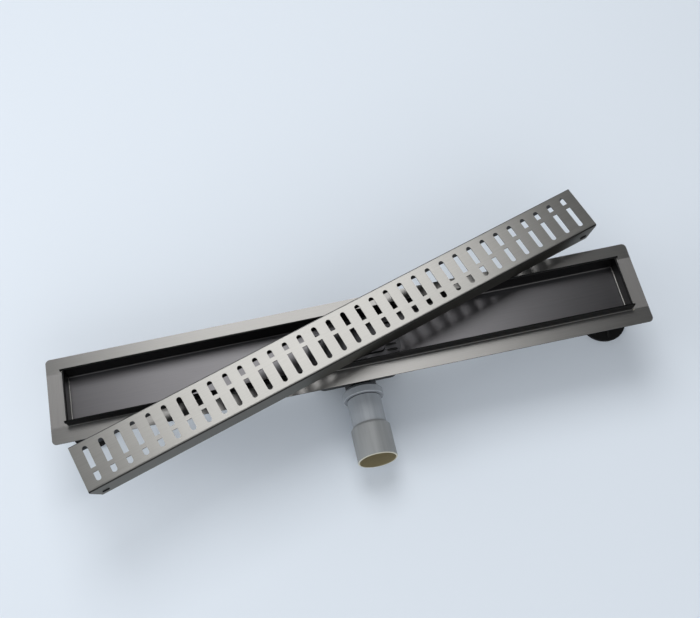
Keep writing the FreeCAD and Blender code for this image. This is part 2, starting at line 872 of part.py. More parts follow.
def make_outlet_pipe():
    """The grey pipe: a collar with its seal groove, a tapered barrel and a spigot end."""
    body = new_body("outlet_pipe")
    play = size("socket_play")
    bore = size("spigot_radius") + play
    start = -size("collar_start")
    end = start - size("collar_length")
    chamfer = size("collar_chamfer")
    rim = size("collar_rim")
    back = size("collar_back")
    root = size("collar_root")
    collar = size("collar_radius")
    groove = collar - size("collar_wall")
    barrel = size("pipe_radius")
    shoulder = -size("pipe_shoulder")
    tail = -size("pipe_end")
    inner = size("spigot_radius") - size("spigot_wall")
    stop = -size("spigot_reach") - play
    profile = Drawing(body, "profile", "YZ_Plane")
    profile.outline(
        [
            (start, bore),
            (start, collar - chamfer),
            (start - chamfer, collar),
            (end + root, collar),
            (end, collar - root),
            (end, barrel - back),
            (end - rim, barrel - back),
            (end - rim, barrel),
            (shoulder, barrel - size("pipe_taper")),
            (shoulder, size("spigot_radius")),
            (tail, size("spigot_radius")),
            (tail, inner),
            (stop, inner),
            (stop, bore),
            (end + back, bore),
            (end + back, groove),
            (start - chamfer, groove),
            (start - chamfer, bore),
        ]
    )
    revolve(body, profile, "turned", "H_Axis")
    position(body, outlet_along, 0, size("outlet_height"))


def make_outlet_seal():
    """The lip seal in the collar's groove, round the trap's spigot."""
    body = new_body("outlet_seal")
    outer = -size("collar_start") - size("collar_chamfer")
    inner = -size("collar_start") - size("collar_length") + size("collar_back")
    root = size("collar_radius") - size("collar_wall")
    tip = size("spigot_radius") + size("seal_play")
    shoulder = (root + tip) / 2
    profile = Drawing(body, "profile", "YZ_Plane")
    profile.outline(
        [
            (outer, root),
            (inner, root),
            (inner, shoulder),
            ((outer + inner) / 2, tip),
            (outer, shoulder),
        ]
    )
    revolve(body, profile, "turned", "H_Axis")
    position(body, outlet_along, 0, size("outlet_height"))


def make_coupling():
    """The wider end coupling, pushed over the pipe's spigot up to its shoulder."""
    body = new_body("outlet_coupling")
    bore = size("spigot_radius") + size("socket_play")
    radius = size("coupling_radius")
    shoulder = -size("pipe_shoulder")
    cone = size("coupling_shoulder")
    stop = -size("pipe_end") - size("socket_play")
    neck = size("spigot_radius") - size("spigot_wall")
    ridge = stop - size("coupling_stop")
    end = -size("coupling_end")
    mouth = radius - size("coupling_wall")
    edge = size("coupling_lip")
    profile = Drawing(body, "profile", "YZ_Plane")
    profile.outline(
        [
            (shoulder, bore),
            (shoulder, radius - size("coupling_chamfer")),
            (shoulder - cone, radius),
            (end + edge, radius),
            (end, radius - edge),
            (end, mouth),
            (ridge - cone, mouth),
            (ridge, neck),
            (stop, neck),
            (stop, bore),
        ]
    )
    revolve(body, profile, "turned", "H_Axis")
    position(body, outlet_along, 0, size("outlet_height"))


def new_cylinder(name, radius, depth, along_x, across_y, up_z):
    made = doc.addObject("Part::Cylinder", name)
    bind(made, "Radius", radius)
    bind(made, "Height", depth)
    position(made, along_x, across_y, up_z)
    return made


def new_hexagon(name, flats, depth, along_x, across_y, up_z):
    made = doc.addObject("Part::Prism", name)
    made.Polygon = 6
    bind(made, "Circumradius", flats / math.sqrt(3))
    bind(made, "Height", depth)
    position(made, along_x, across_y, up_z)
    return made


def new_cut(name, base, tool):
    made = doc.addObject("Part::Cut", name)
    made.Base = base
    made.Tool = tool
    return made


def make_clamps():
    """Four studs welded under the floor, and the nuts that clamp the trap's flange."""
    radius = size("clamp_stud_radius")
    length = size("clamp_stud_length")
    nut_depth = size("clamp_nut_depth")
    nut_base = trap_flange_under - nut_depth
    studs = []
    nuts = []
    for index, (across, up) in enumerate(clamp_places()):
        spot = (outlet_along + across, up)
        studs.append(new_cylinder(f"stud_{index}", radius, length, *spot, floor_under - length))
        block = new_hexagon(f"nut_block_{index}", size("clamp_nut_flats"), nut_depth, *spot, nut_base)
        bore = new_cylinder(f"nut_bore_{index}", radius + size("thread_play"), nut_depth, *spot, nut_base)
        nuts.append(new_cut(f"nut_{index}", block, bore))
    for name, pieces in (("clamp_studs", studs), ("clamp_nuts", nuts)):
        group = doc.addObject("Part::Compound", name)
        group.Links = pieces
        node(group, name)


def make_foot(name, side):
    """One foot: boss under the floor, threaded stud, lock nut and rubber pad."""
    place = (inside_x - size("foot_inset")) * side
    radius = size("foot_stud_radius")
    play = size("thread_play")
    boss_depth = size("foot_boss_depth")
    boss_base = floor_under - boss_depth
    boss = new_cylinder(f"{name}_boss_block", size("foot_boss_radius"), boss_depth, place, 0, boss_base)
    bore = new_cylinder(f"{name}_boss_bore", radius + play, boss_depth, place, 0, boss_base)
    node(new_cut(f"{name}_boss_cut", boss, bore), f"{name}_boss")

    sole = size("foot_sole")
    stud_length = floor_under - play - sole
    node(new_cylinder(f"{name}_thread", radius, stud_length, place, 0, sole), f"{name}_stud")

    nut_depth = size("foot_nut_depth")
    nut_base = boss_base - nut_depth
    block = new_hexagon(f"{name}_nut_block", size("foot_nut_flats"), nut_depth, place, 0, nut_base)
    hole = new_cylinder(f"{name}_nut_bore", radius + play, nut_depth, place, 0, nut_base)
    node(new_cut(f"{name}_nut_cut", block, hole), f"{name}_nut")

    body = new_body(f"{name}_pad")
    outer = size("foot_pad_radius")
    hub = size("foot_hub_radius")
    top = size("foot_hub_height")
    profile = Drawing(body, "profile", "XZ_Plane")
    profile.outline(
        [
            (0, 0),
            (outer, 0),
            (outer, size("foot_pad_edge")),
            (hub + size("foot_hub_flare"), size("foot_pad_crown")),
            (hub, top),
            (radius + play, top),
            (radius + play, sole),
            (0, sole),
        ]
    )
    revolve(body, profile, "turned", "V_Axis")
    rib_base = size("foot_pad_edge") / 2
    rib = Drawing(body, "rib", "XZ_Plane")
    rib.outline(
        [
            (radius + play, rib_base),
            (outer - size("foot_rib_inset"), rib_base),
            (outer - size("foot_rib_inset"), size("foot_pad_edge")),
            (hub, top - size("foot_rib_drop")),
            (radius + play, top - size("foot_rib_drop")),
        ]
    )
    first_rib = pad_both_ways(body, rib, "rib_pad", size("foot_rib_width"))
    ring = body.newObject("PartDesign::PolarPattern", "ribs")
    ring.Originals = [first_rib]
    z_axis = next(item for item in body.Origin.OriginFeatures if item.Role == "Z_Axis")
    ring.Axis = (z_axis, [""])
    ring.Angle = 360
    bind(ring, "Occurrences", size("foot_rib_count"))
    body.Tip = ring
    position(body, place)


make_trough()
make_end_cap("end_cap_left", -1)
make_end_cap("end_cap_right", 1)
make_cover()
make_sieve()
make_trap_gasket()
make_trap_body()
make_funnel_seal()
make_funnel()
make_trap_cup()
make_clamps()
make_outlet_pipe()
make_outlet_seal()
make_coupling()
make_foot("foot_left", -1)
make_foot("foot_right", 1)

doc.recompute()
for item in doc.Objects:
    if "Invalid" in item.State or "Error" in item.State:
        raise ValueError(f"{item.Label} failed: {item.State}")
for item in NODES:
    if item.Shape.isNull() or not item.Shape.isValid() or not item.Shape.Solids:
        raise ValueError(f"{item.Label} has no valid solid")

os.makedirs("parts", exist_ok=True)
for item in NODES:
    item.Shape.exportStep(f"parts/{item.Label}.step")
print(len(NODES), "sub-parts written")
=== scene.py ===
# %% [markdown]
# # A channel floor drain, dressed for its picture
#
# The solids of the drain come ready from the frame: a folded tray, a slotted cover, the trap with
# its grey outlet, and two feet. This notebook gives each of them its finish, adds the small things
# that a workshop adds, such as threads and welds, and then sets up the floor, light and camera.
# We start by loading the frame.

import math

import bpy
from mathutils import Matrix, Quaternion, Vector


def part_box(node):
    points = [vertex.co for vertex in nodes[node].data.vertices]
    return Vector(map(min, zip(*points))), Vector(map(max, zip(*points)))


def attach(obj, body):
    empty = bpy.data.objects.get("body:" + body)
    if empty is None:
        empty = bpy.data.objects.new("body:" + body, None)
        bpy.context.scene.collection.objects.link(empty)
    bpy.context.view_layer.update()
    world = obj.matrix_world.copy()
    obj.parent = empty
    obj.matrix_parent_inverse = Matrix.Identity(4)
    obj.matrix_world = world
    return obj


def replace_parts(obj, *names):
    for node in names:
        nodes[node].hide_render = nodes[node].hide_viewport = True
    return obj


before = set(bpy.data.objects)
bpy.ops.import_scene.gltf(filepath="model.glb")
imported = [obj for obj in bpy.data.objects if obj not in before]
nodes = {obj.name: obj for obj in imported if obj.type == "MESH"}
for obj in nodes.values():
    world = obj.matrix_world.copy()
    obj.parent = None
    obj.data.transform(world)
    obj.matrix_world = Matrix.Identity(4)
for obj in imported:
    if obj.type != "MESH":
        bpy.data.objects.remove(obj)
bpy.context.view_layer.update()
bpy.ops.object.select_all(action="DESELECT")

# %% [markdown]
# Every size below is a real one in millimetres, and Blender works in metres, so one constant turns
# the one into the other. A pattern needs the opposite: how often it repeats in a metre.

# %% Units
MM = 0.001


def per_metre(*distances):
    """How often patterns that repeat at these distances, in millimetres, repeat in a metre."""
    return tuple(1 / (MM * distance) for distance in distances)


print("a 20 mm pattern repeats", round(per_metre(20)[0]), "times in a metre")

# %% [markdown]
# Colours are picked as web colours, as one reads them off a screen. A shader adds up light, and so
# it wants linear values. The sRGB standard gives the way from one to the other: a straight piece
# for the darkest values and a power curve for the rest.

# %% Colours
CURVE_START = 0.04045
DARK_SLOPE = 12.92
CURVE_SHIFT = 0.055
CURVE_POWER = 2.4


def linear(web_colour):
    """A web colour such as '#8b8e8f' as linear red, green, blue and alpha."""
    light = []
    for start in (1, 3, 5):
        share = int(web_colour[start : start + 2], 16) / 255
        curved = ((share + CURVE_SHIFT) / (1 + CURVE_SHIFT)) ** CURVE_POWER
        light.append(share / DARK_SLOPE if share <= CURVE_START else curved)
    return (*light, 1.0)


print("middle grey on screen, in linear light:", round(linear("#808080")[0], 3))

# %% [markdown]
# A finish is a small graph of shader nodes. It could be drawn by hand in the node editor. A script
# would need several lines for each node, so one helper adds a node, gives it its settings, fills or
# wires its inputs, and hands back one of its outputs. Each recipe then reads like a list of steps.
# Inputs go by name, or by number where several of them share a name.

# %% The node helper
def add_node(tree, kind, inputs, settings=None, output=0):
    """Adds a shader node with its inputs and settings, and returns one of its outputs."""
    node = tree.nodes.new(kind)
    for name, value in (settings or {}).items():
        setattr(node, name, value)
    for name, value in inputs.items():
        if isinstance(value, bpy.types.NodeSocket):
            tree.links.new(value, node.inputs[name])
        else:
            node.inputs[name].default_value = value
    return node.outputs[output] if node.outputs else None


print("node helper ready:", add_node.__doc__)

# %% [markdown]
# The simplest finish comes first, to try the helper: the paper that the drain will stand on. Matt
# paper scatters light evenly, so it needs one pale colour, a high roughness and next to no shine.
# Every finish starts empty and ends in the same way, with the main shader wired to the output.

# %% The first finish: paper
PAPER_COLOUR = "#dfe6ee"
PAPER_ROUGHNESS = 0.9
PAPER_SHINE = 0.1


def new_finish(name):
    """An empty material and its node tree."""
    material = bpy.data.materials.new(name)
    material.use_nodes = True
    material.node_tree.nodes.clear()
    return material, material.node_tree


def show_surface(tree, inputs):
    """Ends a recipe: the main shader with these inputs, wired to the output."""
    surface = add_node(tree, "ShaderNodeBsdfPrincipled", inputs)
    add_node(tree, "ShaderNodeOutputMaterial", {"Surface": surface})


paper, paper_tree = new_finish("studio_floor_paper")
show_surface(
    paper_tree,
    {"Base Color": linear(PAPER_COLOUR), "Roughness": PAPER_ROUGHNESS, "Specular IOR Level": PAPER_SHINE},
)
print("first finish:", paper.name, "with", len(paper_tree.nodes), "nodes")

# %% [markdown]
# ## Brushed gunmetal stainless steel
#
# The tray and its cover are stainless sheet, brushed on a belt and then coated to a gunmetal tone.
# The flat faces took the belt and are the lightest. The bends and the upright walls get darker colours,
# which is painted shade: on the real sheet they look dark because they mirror dark surroundings. Each of
# these could be a material of its own, but a folded sheet has no seam between them, so one material tells
# them apart by how steep the surface is.

# %% Where the sheet turns upright
BEND_LEVELS = (0.97, 0.8)
SIDE_LEVELS = (0.3, 0.1)


def steepness(tree, levels):
    """0 where the surface is as level as the first value, 1 where it is as steep as the second."""
    normal = add_node(tree, "ShaderNodeNewGeometry", {}, output="Normal")
    up = add_node(tree, "ShaderNodeSeparateXYZ", {0: normal}, output="Z")
    level = add_node(tree, "ShaderNodeMath", {0: up}, {"operation": "ABSOLUTE"})
    return add_node(
        tree, "ShaderNodeMapRange", {"Value": level, "From Min": levels[0], "From Max": levels[1]},
        {"interpolation_type": "SMOOTHSTEP"},
    )


for zone, levels in (("bend", BEND_LEVELS), ("side", SIDE_LEVELS)):
    leans = [round(math.degrees(math.acos(level))) for level in levels]
    print(zone, "colour starts and is full where the sheet leans by", leans, "degrees")

# %% [markdown]
# The cover is a channel turned upside down, and its hollow side gets a near-black colour, which is painted
# shade for the shade under the cover. A face belongs to that side if it looks down, or if it looks in
# towards the cover's middle line. For the second we multiply how far the face lies to one side of the line
# by how far it looks to that side. The product is well below zero only on the inner faces.

# %% Painted shade on the hollow side of the cover
PAINTED_SHADE = "#1c1c1c"
INWARD_LIMIT = -12 * MM
DOWN_LIMIT = -0.5
DOT = {"operation": "DOT_PRODUCT"}


def hollow_side(tree, centre, turn):
    """1 on faces that look down, or in towards the middle line of a channel."""
    across = (-math.sin(math.radians(turn)), math.cos(math.radians(turn)), 0)
    normal = add_node(tree, "ShaderNodeNewGeometry", {}, output="Normal")
    place = add_node(tree, "ShaderNodeTexCoord", {}, output="Object")
    from_centre = add_node(
        tree, "ShaderNodeVectorMath", {0: place, 1: (*centre, 0)}, {"operation": "SUBTRACT"}
    )
    side = add_node(tree, "ShaderNodeVectorMath", {0: from_centre, 1: across}, DOT, "Value")
    facing = add_node(tree, "ShaderNodeVectorMath", {0: normal, 1: across}, DOT, "Value")
    outward = add_node(tree, "ShaderNodeMath", {0: side, 1: facing}, {"operation": "MULTIPLY"})
    inward = add_node(tree, "ShaderNodeMath", {0: outward, 1: INWARD_LIMIT}, {"operation": "LESS_THAN"})
    up = add_node(tree, "ShaderNodeSeparateXYZ", {0: normal}, output="Z")
    down = add_node(tree, "ShaderNodeMath", {0: up, 1: DOWN_LIMIT}, {"operation": "LESS_THAN"})
    return add_node(tree, "ShaderNodeMath", {0: inward, 1: down}, {"operation": "MAXIMUM"})


print("hollow side of the cover:", PAINTED_SHADE, "from", -INWARD_LIMIT / MM, "mm off its middle line")

# %% [markdown]
# A brush leaves fine scratches along the sheet. They could come from a picture, but a noise that is
# stretched along the grain fits any length of sheet and never repeats. Real scratches are about
# 0.1 mm wide, far below a pixel, so they are drawn about 1 mm wide here, and 60 mm long.

# %% The grain
GRAIN_LENGTH = 60
GRAIN_WIDTH = 1.1
GRAIN_DETAIL = 4.0
GRAIN_ROUGHNESS = 0.65


def grain_pattern(tree, place, grain_turn):
    """Fine streaks that run along X, turned by grain_turn degrees."""
    turned = add_node(
        tree, "ShaderNodeMapping", {"Vector": place, "Rotation": (0, 0, -math.radians(grain_turn))}
    )
    stretch = per_metre(GRAIN_LENGTH, GRAIN_WIDTH, GRAIN_WIDTH)
    drawn = add_node(tree, "ShaderNodeMapping", {"Vector": turned, "Scale": stretch})
    return add_node(
        tree, "ShaderNodeTexNoise",
        {"Vector": drawn, "Scale": 1.0, "Detail": GRAIN_DETAIL, "Roughness": GRAIN_ROUGHNESS},
    )


streak_rates = per_metre(GRAIN_LENGTH, GRAIN_WIDTH)
print("streaks in a metre, along and across:", [round(rate) for rate in streak_rates])

# %% [markdown]
# The tone of the sheet changes a little from one streak to the next. The pressure of the belt varies
# as well, which leaves slow, cloudy changes over a hand's breadth. Both are noises from 0 to 1, so
# each is squeezed to a narrow range near 1, and their product darkens or lightens the colour.

# %% Streaks and clouds
CLOUD_SIZE = 90
CLOUD_DETAIL = 2.0
CLOUD_RANGE = 0.12
CLOUD_LOW = 0.94
STREAK_RANGE = 0.30
STREAK_LOW = 0.85


def streaked(tree, place, grain, colour):
    """A colour with the streaks of the grain and slow clouds in it."""
    clouds = add_node(
        tree, "ShaderNodeTexNoise",
        {"Vector": place, "Scale": per_metre(CLOUD_SIZE)[0], "Detail": CLOUD_DETAIL},
    )
    scaled = {"operation": "MULTIPLY_ADD"}
    cloudy = add_node(tree, "ShaderNodeMath", {0: clouds, 1: CLOUD_RANGE, 2: CLOUD_LOW}, scaled)
    streaky = add_node(tree, "ShaderNodeMath", {0: grain, 1: STREAK_RANGE, 2: STREAK_LOW}, scaled)
    both = add_node(tree, "ShaderNodeMath", {0: cloudy, 1: streaky}, {"operation": "MULTIPLY"})
    grey = add_node(tree, "ShaderNodeCombineColor", {0: both, 1: both, 2: both})
    shaded = {"data_type": "RGBA", "blend_type": "MULTIPLY"}
    return add_node(tree, "ShaderNodeMix", {0: 1.0, 6: colour, 7: grey}, shaded, 2)


darkest = CLOUD_LOW * STREAK_LOW
lightest = (CLOUD_LOW + CLOUD_RANGE) * (STREAK_LOW + STREAK_RANGE)
print("tones from", round(darkest, 2), "to", round(lightest, 2), "times the colour")

# %% [markdown]
# Now the layers go on, like coats of paint through a mask: the bends over the brushed flats, the sides over
# the bends, then the lips and the hollow side where a sheet has them. These darker layers are painted
# shade. The tray's floor lies deep, so its flats start from a darker colour, chosen by height, which is
# partly a duller finish and partly painted shade of the deep channel.

# %% Layers of colour
FLOOR_TOP = 89.5 * MM
FLANGE_TOP = 100 * MM
FADE_START = 1 * MM
FADE_END = 2 * MM
MIX_COLOURS = {"data_type": "RGBA"}


def lay_over(tree, base, layers):
    """Lays colours over a base, each where its mask is 1."""
    for mask, colour in layers:
        base = add_node(tree, "ShaderNodeMix", {0: mask, 6: base, 7: colour}, MIX_COLOURS, 2)
    return base


def flat_colours(tree, height, colour, floor_finish_and_shade):
    """The colour of the flats, and a darker one on the tray's floor that is partly painted shade."""
    fade = {"Value": height, "From Min": FLOOR_TOP + FADE_END, "From Max": FLOOR_TOP + FADE_START}
    low = add_node(tree, "ShaderNodeMapRange", fade)
    return lay_over(tree, linear(colour), [(low, linear(floor_finish_and_shade))])


def lip_layer(tree, height, lip_shade):
    """The lips' painted shade colour and its mask: all that stands above the flange."""
    fade = {"Value": height, "From Min": FLANGE_TOP + FADE_START, "From Max": FLANGE_TOP + FADE_END}
    return add_node(tree, "ShaderNodeMapRange", fade), linear(lip_shade)


print("floor colour ends at", round((FLOOR_TOP + FADE_END) / MM, 1), "mm up")
print("lip colour starts at", round((FLANGE_TOP + FADE_START) / MM, 1), "mm up")

# %% [markdown]
# A metal has no colour under its surface, only a tinted mirror, so Metallic is 1 and the default
# IOR stays. The scratches spread the light across the grain and hardly along it. That is what
# Anisotropic does, with a tangent that tells the shader which way the light is spread. The same
# scratches give a faint bump and make the roughness wander.

# %% How scratches spread the light
SCRATCH_DEPTH = 0.03 * MM
SCRATCH_STRENGTH = 0.25
SMOOTHEST = 0.29
ROUGHEST = 0.43
ANISOTROPY = 0.65


def scratched(tree, grain, grain_turn):
    """The inputs of the main shader that make it a scratched metal."""
    bump = add_node(
        tree, "ShaderNodeBump", {"Height": grain, "Strength": SCRATCH_STRENGTH, "Distance": SCRATCH_DEPTH}
    )
    angle = math.radians(grain_turn)
    across = add_node(tree, "ShaderNodeCombineXYZ", {"X": -math.sin(angle), "Y": math.cos(angle), "Z": 0.0})
    rough = add_node(tree, "ShaderNodeMapRange", {"Value": grain, "To Min": SMOOTHEST, "To Max": ROUGHEST})
    return {
        "Metallic": 1.0, "Roughness": rough, "Anisotropic": ANISOTROPY, "Normal": bump, "Tangent": across
    }


print("brushed steel: roughness from", SMOOTHEST, "to", ROUGHEST)

# %% [markdown]
# All of this comes together in one recipe. It takes the colours of a sheet's flats, bends and sides,
# which way its grain runs, and, where the sheet has them, the colours of its floor and lips and the
# middle line of its hollow side.

# %% The recipe for brushed steel
def brushed_steel(name, colours, grain_turn, floor_finish_and_shade=None, lip_shade=None, hollow_centre=None):
    """Brushed sheet, with its grain turned from X by grain_turn degrees."""
    flat_colour, bend_shade, side_shade = colours
    steel, tree = new_finish(name)
    place = add_node(tree, "ShaderNodeTexCoord", {}, output="Object")
    height = add_node(tree, "ShaderNodeSeparateXYZ", {0: place}, output="Z")
    grain = grain_pattern(tree, place, grain_turn)
    flat = flat_colours(tree, height, flat_colour, floor_finish_and_shade) if floor_finish_and_shade else linear(flat_colour)
    # The bend, side, lip and hollow-side colours laid over the flats are painted shade.
    layers = [
        (steepness(tree, BEND_LEVELS), linear(bend_shade)),
        (steepness(tree, SIDE_LEVELS), linear(side_shade)),
    ]
    if lip_shade:
        layers.append(lip_layer(tree, height, lip_shade))
    if hollow_centre:
        layers.append((hollow_side(tree, hollow_centre, grain_turn), linear(PAINTED_SHADE)))
    base = lay_over(tree, streaked(tree, place, grain, flat), layers)
    show_surface(tree, {"Base Color": base, **scratched(tree, grain, grain_turn)})
    return steel


print("recipe for sheet with scratches of", GRAIN_WIDTH, "by", GRAIN_LENGTH, "mm")

# %% [markdown]
# Four sheets use it. The long tray was brushed along its length and its two ends across it. The cover lies
# turned in the tray, so its grain and its middle line turn with it. The sieve deep in the opening is given
# a darker colour all over, which is painted shade of the opening.

# %% The four steels
COVER_TURN = 17.6
COVER_CENTRE = (-6.4 * MM, -3 * MM)
BEND_SHADE = "#454443"
# The tray's floor colour is partly painted shade of the deep channel.
steel_along = brushed_steel(
    "steel_sheet_brushed_along", ("#848381", BEND_SHADE, PAINTED_SHADE), grain_turn=0,
    floor_finish_and_shade="#636264", lip_shade=PAINTED_SHADE,
)
steel_across = brushed_steel(
    "steel_sheet_brushed_across", ("#71706f", BEND_SHADE, PAINTED_SHADE), grain_turn=90, lip_shade=PAINTED_SHADE
)
steel_cover = brushed_steel(
    "steel_cover_brushed", ("#8f8e8b", "#2b2a29", "#6a6862"), grain_turn=COVER_TURN,
    hollow_centre=COVER_CENTRE,
)
# The sieve's darker colours are painted shade.
steel_sieve = brushed_steel("steel_sieve_brushed", ("#4c4c4e", "#3c3c3e", PAINTED_SHADE), grain_turn=0)
print("steels:", [steel.name for steel in (steel_along, steel_across, steel_cover, steel_sieve)])

# %% [markdown]
# ## Moulded plastics and rubber
#
# The trap and the outlet are polypropylene, a dull and slightly waxy plastic. Hot plastic that runs
# into a mould leaves a soft mottle, drawn out the way it flowed, and the mould's wall leaves a fine
# grit. A plain colour would look like paint, so the recipe mixes two near colours by a wide noise,
# and puts a fine noise in the bump. The real grit is far finer than a pixel, so it is drawn half a
# millimetre and more wide. A piece with colour zones of its own brings a function for them.

# %% The recipe for moulded pieces
MOTTLE = (18, 18, 18)
MOTTLE_DETAIL = 3.0
FINE_GRIT = 0.6
GRIT_DETAIL = 2.0
GRIT_STRENGTH = 0.4
GRIT_DEPTH = 0.02 * MM
ROUGHNESS_WANDER = 0.05
PLASTIC_SHINE = 0.5


def moulded(name, colours, roughness, flow=MOTTLE, grit=FINE_GRIT, shine=PLASTIC_SHINE, zones=None):
    """Moulded plastic or rubber, with the sizes of its mottle and its grit in millimetres."""
    material, tree = new_finish(name)
    place = add_node(tree, "ShaderNodeTexCoord", {}, output="Object")
    drawn = add_node(tree, "ShaderNodeMapping", {"Vector": place, "Scale": per_metre(*flow)})
    mottle = add_node(tree, "ShaderNodeTexNoise", {"Vector": drawn, "Scale": 1.0, "Detail": MOTTLE_DETAIL})
    grains = {"Vector": place, "Scale": per_metre(grit)[0], "Detail": GRIT_DETAIL}
    fine = add_node(tree, "ShaderNodeTexNoise", grains)
    base = lay_over(tree, linear(colours[0]), [(mottle, linear(colours[1]))])
    if zones:
        base = lay_over(tree, base, zones(tree, place))
    bump = add_node(
        tree, "ShaderNodeBump", {"Height": fine, "Strength": GRIT_STRENGTH, "Distance": GRIT_DEPTH}
    )
    spread = {"To Min": roughness - ROUGHNESS_WANDER, "To Max": roughness + ROUGHNESS_WANDER}
    rough = add_node(tree, "ShaderNodeMapRange", {"Value": mottle, **spread})
    show_surface(
        tree, {"Base Color": base, "Roughness": rough, "Specular IOR Level": shine, "Normal": bump}
    )
    return material


print("moulded pieces: mottle", MOTTLE[0], "mm, grit", FINE_GRIT, "mm")

# %% [markdown]
# The trap is black. The funnel of its insert is black here too, which is painted shade, since only darkness
# shows of it through the sieve's slots, and the insert's cup is white. Gaskets, seals, foot pads and stops
# are black rubber. Rubber scatters what little light it sends back, so it is rougher and shines less than
# plastic, and its grit is coarser.

# %% Black, white and rubber
black_plastic = moulded("polypropylene_black", ("#101112", "#17181a"), roughness=0.4)
white_plastic = moulded("polypropylene_white", ("#d8d8d2", "#e0e0dc"), roughness=0.4)
black_rubber = moulded("rubber_black", ("#080808", "#0d0d0d"), roughness=0.7, grit=0.9, shine=0.2)
print("moulded:", [finish.name for finish in (black_plastic, white_plastic, black_rubber)])

# %% [markdown]
# The blue-grey pipe is drawn out along its length, and so is its mottle. Where its barrel leaves the
# collar, a narrow dark line is painted shadow for the corner between the two. At about a millimetre it is
# too fine for the lamps to draw, so a dark colour lies there, by a mask that rises at one edge of the line
# times one that falls at the other.

# %% The blue-grey pipe
PIPE_FLOW = (4, 70, 4)
COLLAR_END = -56 * MM
LINE_START = (COLLAR_END + 0.1 * MM, COLLAR_END - 0.2 * MM)
LINE_END = (COLLAR_END - 1.5 * MM, COLLAR_END - 1.1 * MM)
COLLAR_SHADOW_COLOUR = "#33363b"


def collar_shadow_zone(tree, place):
    """The painted shadow line where the barrel leaves the collar."""
    along = add_node(tree, "ShaderNodeSeparateXYZ", {0: place}, output="Y")
    started, not_over = (
        add_node(tree, "ShaderNodeMapRange", {"Value": along, "From Min": edge[0], "From Max": edge[1]})
        for edge in (LINE_START, LINE_END)
    )
    line = add_node(tree, "ShaderNodeMath", {0: started, 1: not_over}, {"operation": "MULTIPLY"})
    return [(line, linear(COLLAR_SHADOW_COLOUR))]


grey_pipe = moulded(
    "polypropylene_blue_grey", ("#8b9095", "#a6aaaf"), roughness=0.42, flow=PIPE_FLOW, zones=collar_shadow_zone
)
print("dark line from", round(LINE_START[0] / MM, 1), "to", round(LINE_END[0] / MM, 1), "mm along Y")

# %% [markdown]
# The coupling at the pipe's end is a warmer grey. Its rim is given a pale colour and its bore a brownish
# olive. The rim is found by its place along Y, and the bore by its distance from the pipe's own axis.

# %% The warm grey coupling
OUTLET_AXIS = (5 * MM, 0, 40 * MM)
ACROSS_AXIS = (1, 0, 1)
REAR_FACE = -97 * MM
RIM_AT = -139 * MM
BORE_RADIUS = 23 * MM
RIM_FADE = (RIM_AT + 0.8 * MM, RIM_AT + 0.3 * MM)
REAR_FADE = (REAR_FACE - 0.5 * MM, REAR_FACE - 1 * MM)
BORE_FADE = (BORE_RADIUS + 0.4 * MM, BORE_RADIUS + 0.1 * MM)
RIM_COLOUR = "#b9b6a6"
BORE_COLOUR = "#8c8266"


def mouth_zones(tree, place):
    """A pale rim and a brownish olive bore."""
    along = add_node(tree, "ShaderNodeSeparateXYZ", {0: place}, output="Y")
    flattened = add_node(
        tree, "ShaderNodeVectorMath", {0: place, 1: ACROSS_AXIS}, {"operation": "MULTIPLY"}
    )
    radius = add_node(
        tree, "ShaderNodeVectorMath", {0: flattened, 1: OUTLET_AXIS}, {"operation": "DISTANCE"}, "Value"
    )
    rim, behind_rear, in_bore = (
        add_node(tree, "ShaderNodeMapRange", {"Value": value, "From Min": fade[0], "From Max": fade[1]})
        for value, fade in ((along, RIM_FADE), (along, REAR_FADE), (radius, BORE_FADE))
    )
    bore = add_node(tree, "ShaderNodeMath", {0: in_bore, 1: behind_rear}, {"operation": "MULTIPLY"})
    return [(rim, linear(RIM_COLOUR)), (bore, linear(BORE_COLOUR))]


grey_coupling = moulded(
    "polypropylene_warm_grey", ("#7a7c7d", "#919393"), roughness=0.45, flow=PIPE_FLOW, zones=mouth_zones
)
bore_depth = REAR_FACE - RIM_AT
print("coupling bore:", round(2 * BORE_RADIUS / MM), "mm wide and", round(bore_depth / MM), "mm deep")

# %% [markdown]
# ## Zinc-plated steel
#
# Studs and nuts are plain steel with a thin bright coat of zinc. It shows as a pale grey metal with
# a faint cloudy spangle, grown in cells of a millimetre or two. A noise would have no cells, so the
# recipe takes Blender's cell texture, and lets it set both the tone and the roughness.

# %% Zinc
SPANGLE = 1.6
ZINC_SMOOTHEST = 0.28
ZINC_ROUGHEST = 0.45


def zinc_plated(name, colour, dull_colour):
    """Bright zinc with a faint spangle."""
    material, tree = new_finish(name)
    place = add_node(tree, "ShaderNodeTexCoord", {}, output="Object")
    cells = add_node(tree, "ShaderNodeTexVoronoi", {"Vector": place, "Scale": per_metre(SPANGLE)[0]})
    base = lay_over(tree, linear(colour), [(cells, linear(dull_colour))])
    spread = {"To Min": ZINC_SMOOTHEST, "To Max": ZINC_ROUGHEST}
    rough = add_node(tree, "ShaderNodeMapRange", {"Value": cells, **spread})
    show_surface(tree, {"Base Color": base, "Metallic": 1.0, "Roughness": rough})
    return material


zinc = zinc_plated("steel_zinc_plated", "#b4b6b9", "#94979b")
print("zinc:", zinc.name, "with spangles of", SPANGLE, "mm")

# %% [markdown]
# ## Dressing the solids
#
# Each solid that is right as it stands keeps its shape and only takes its finish. The studs and nuts get
# theirs too, until threaded ones take their place further down. The funnel of the insert is black here as
# painted shade, because what shows of it through the sieve's slots is dark.

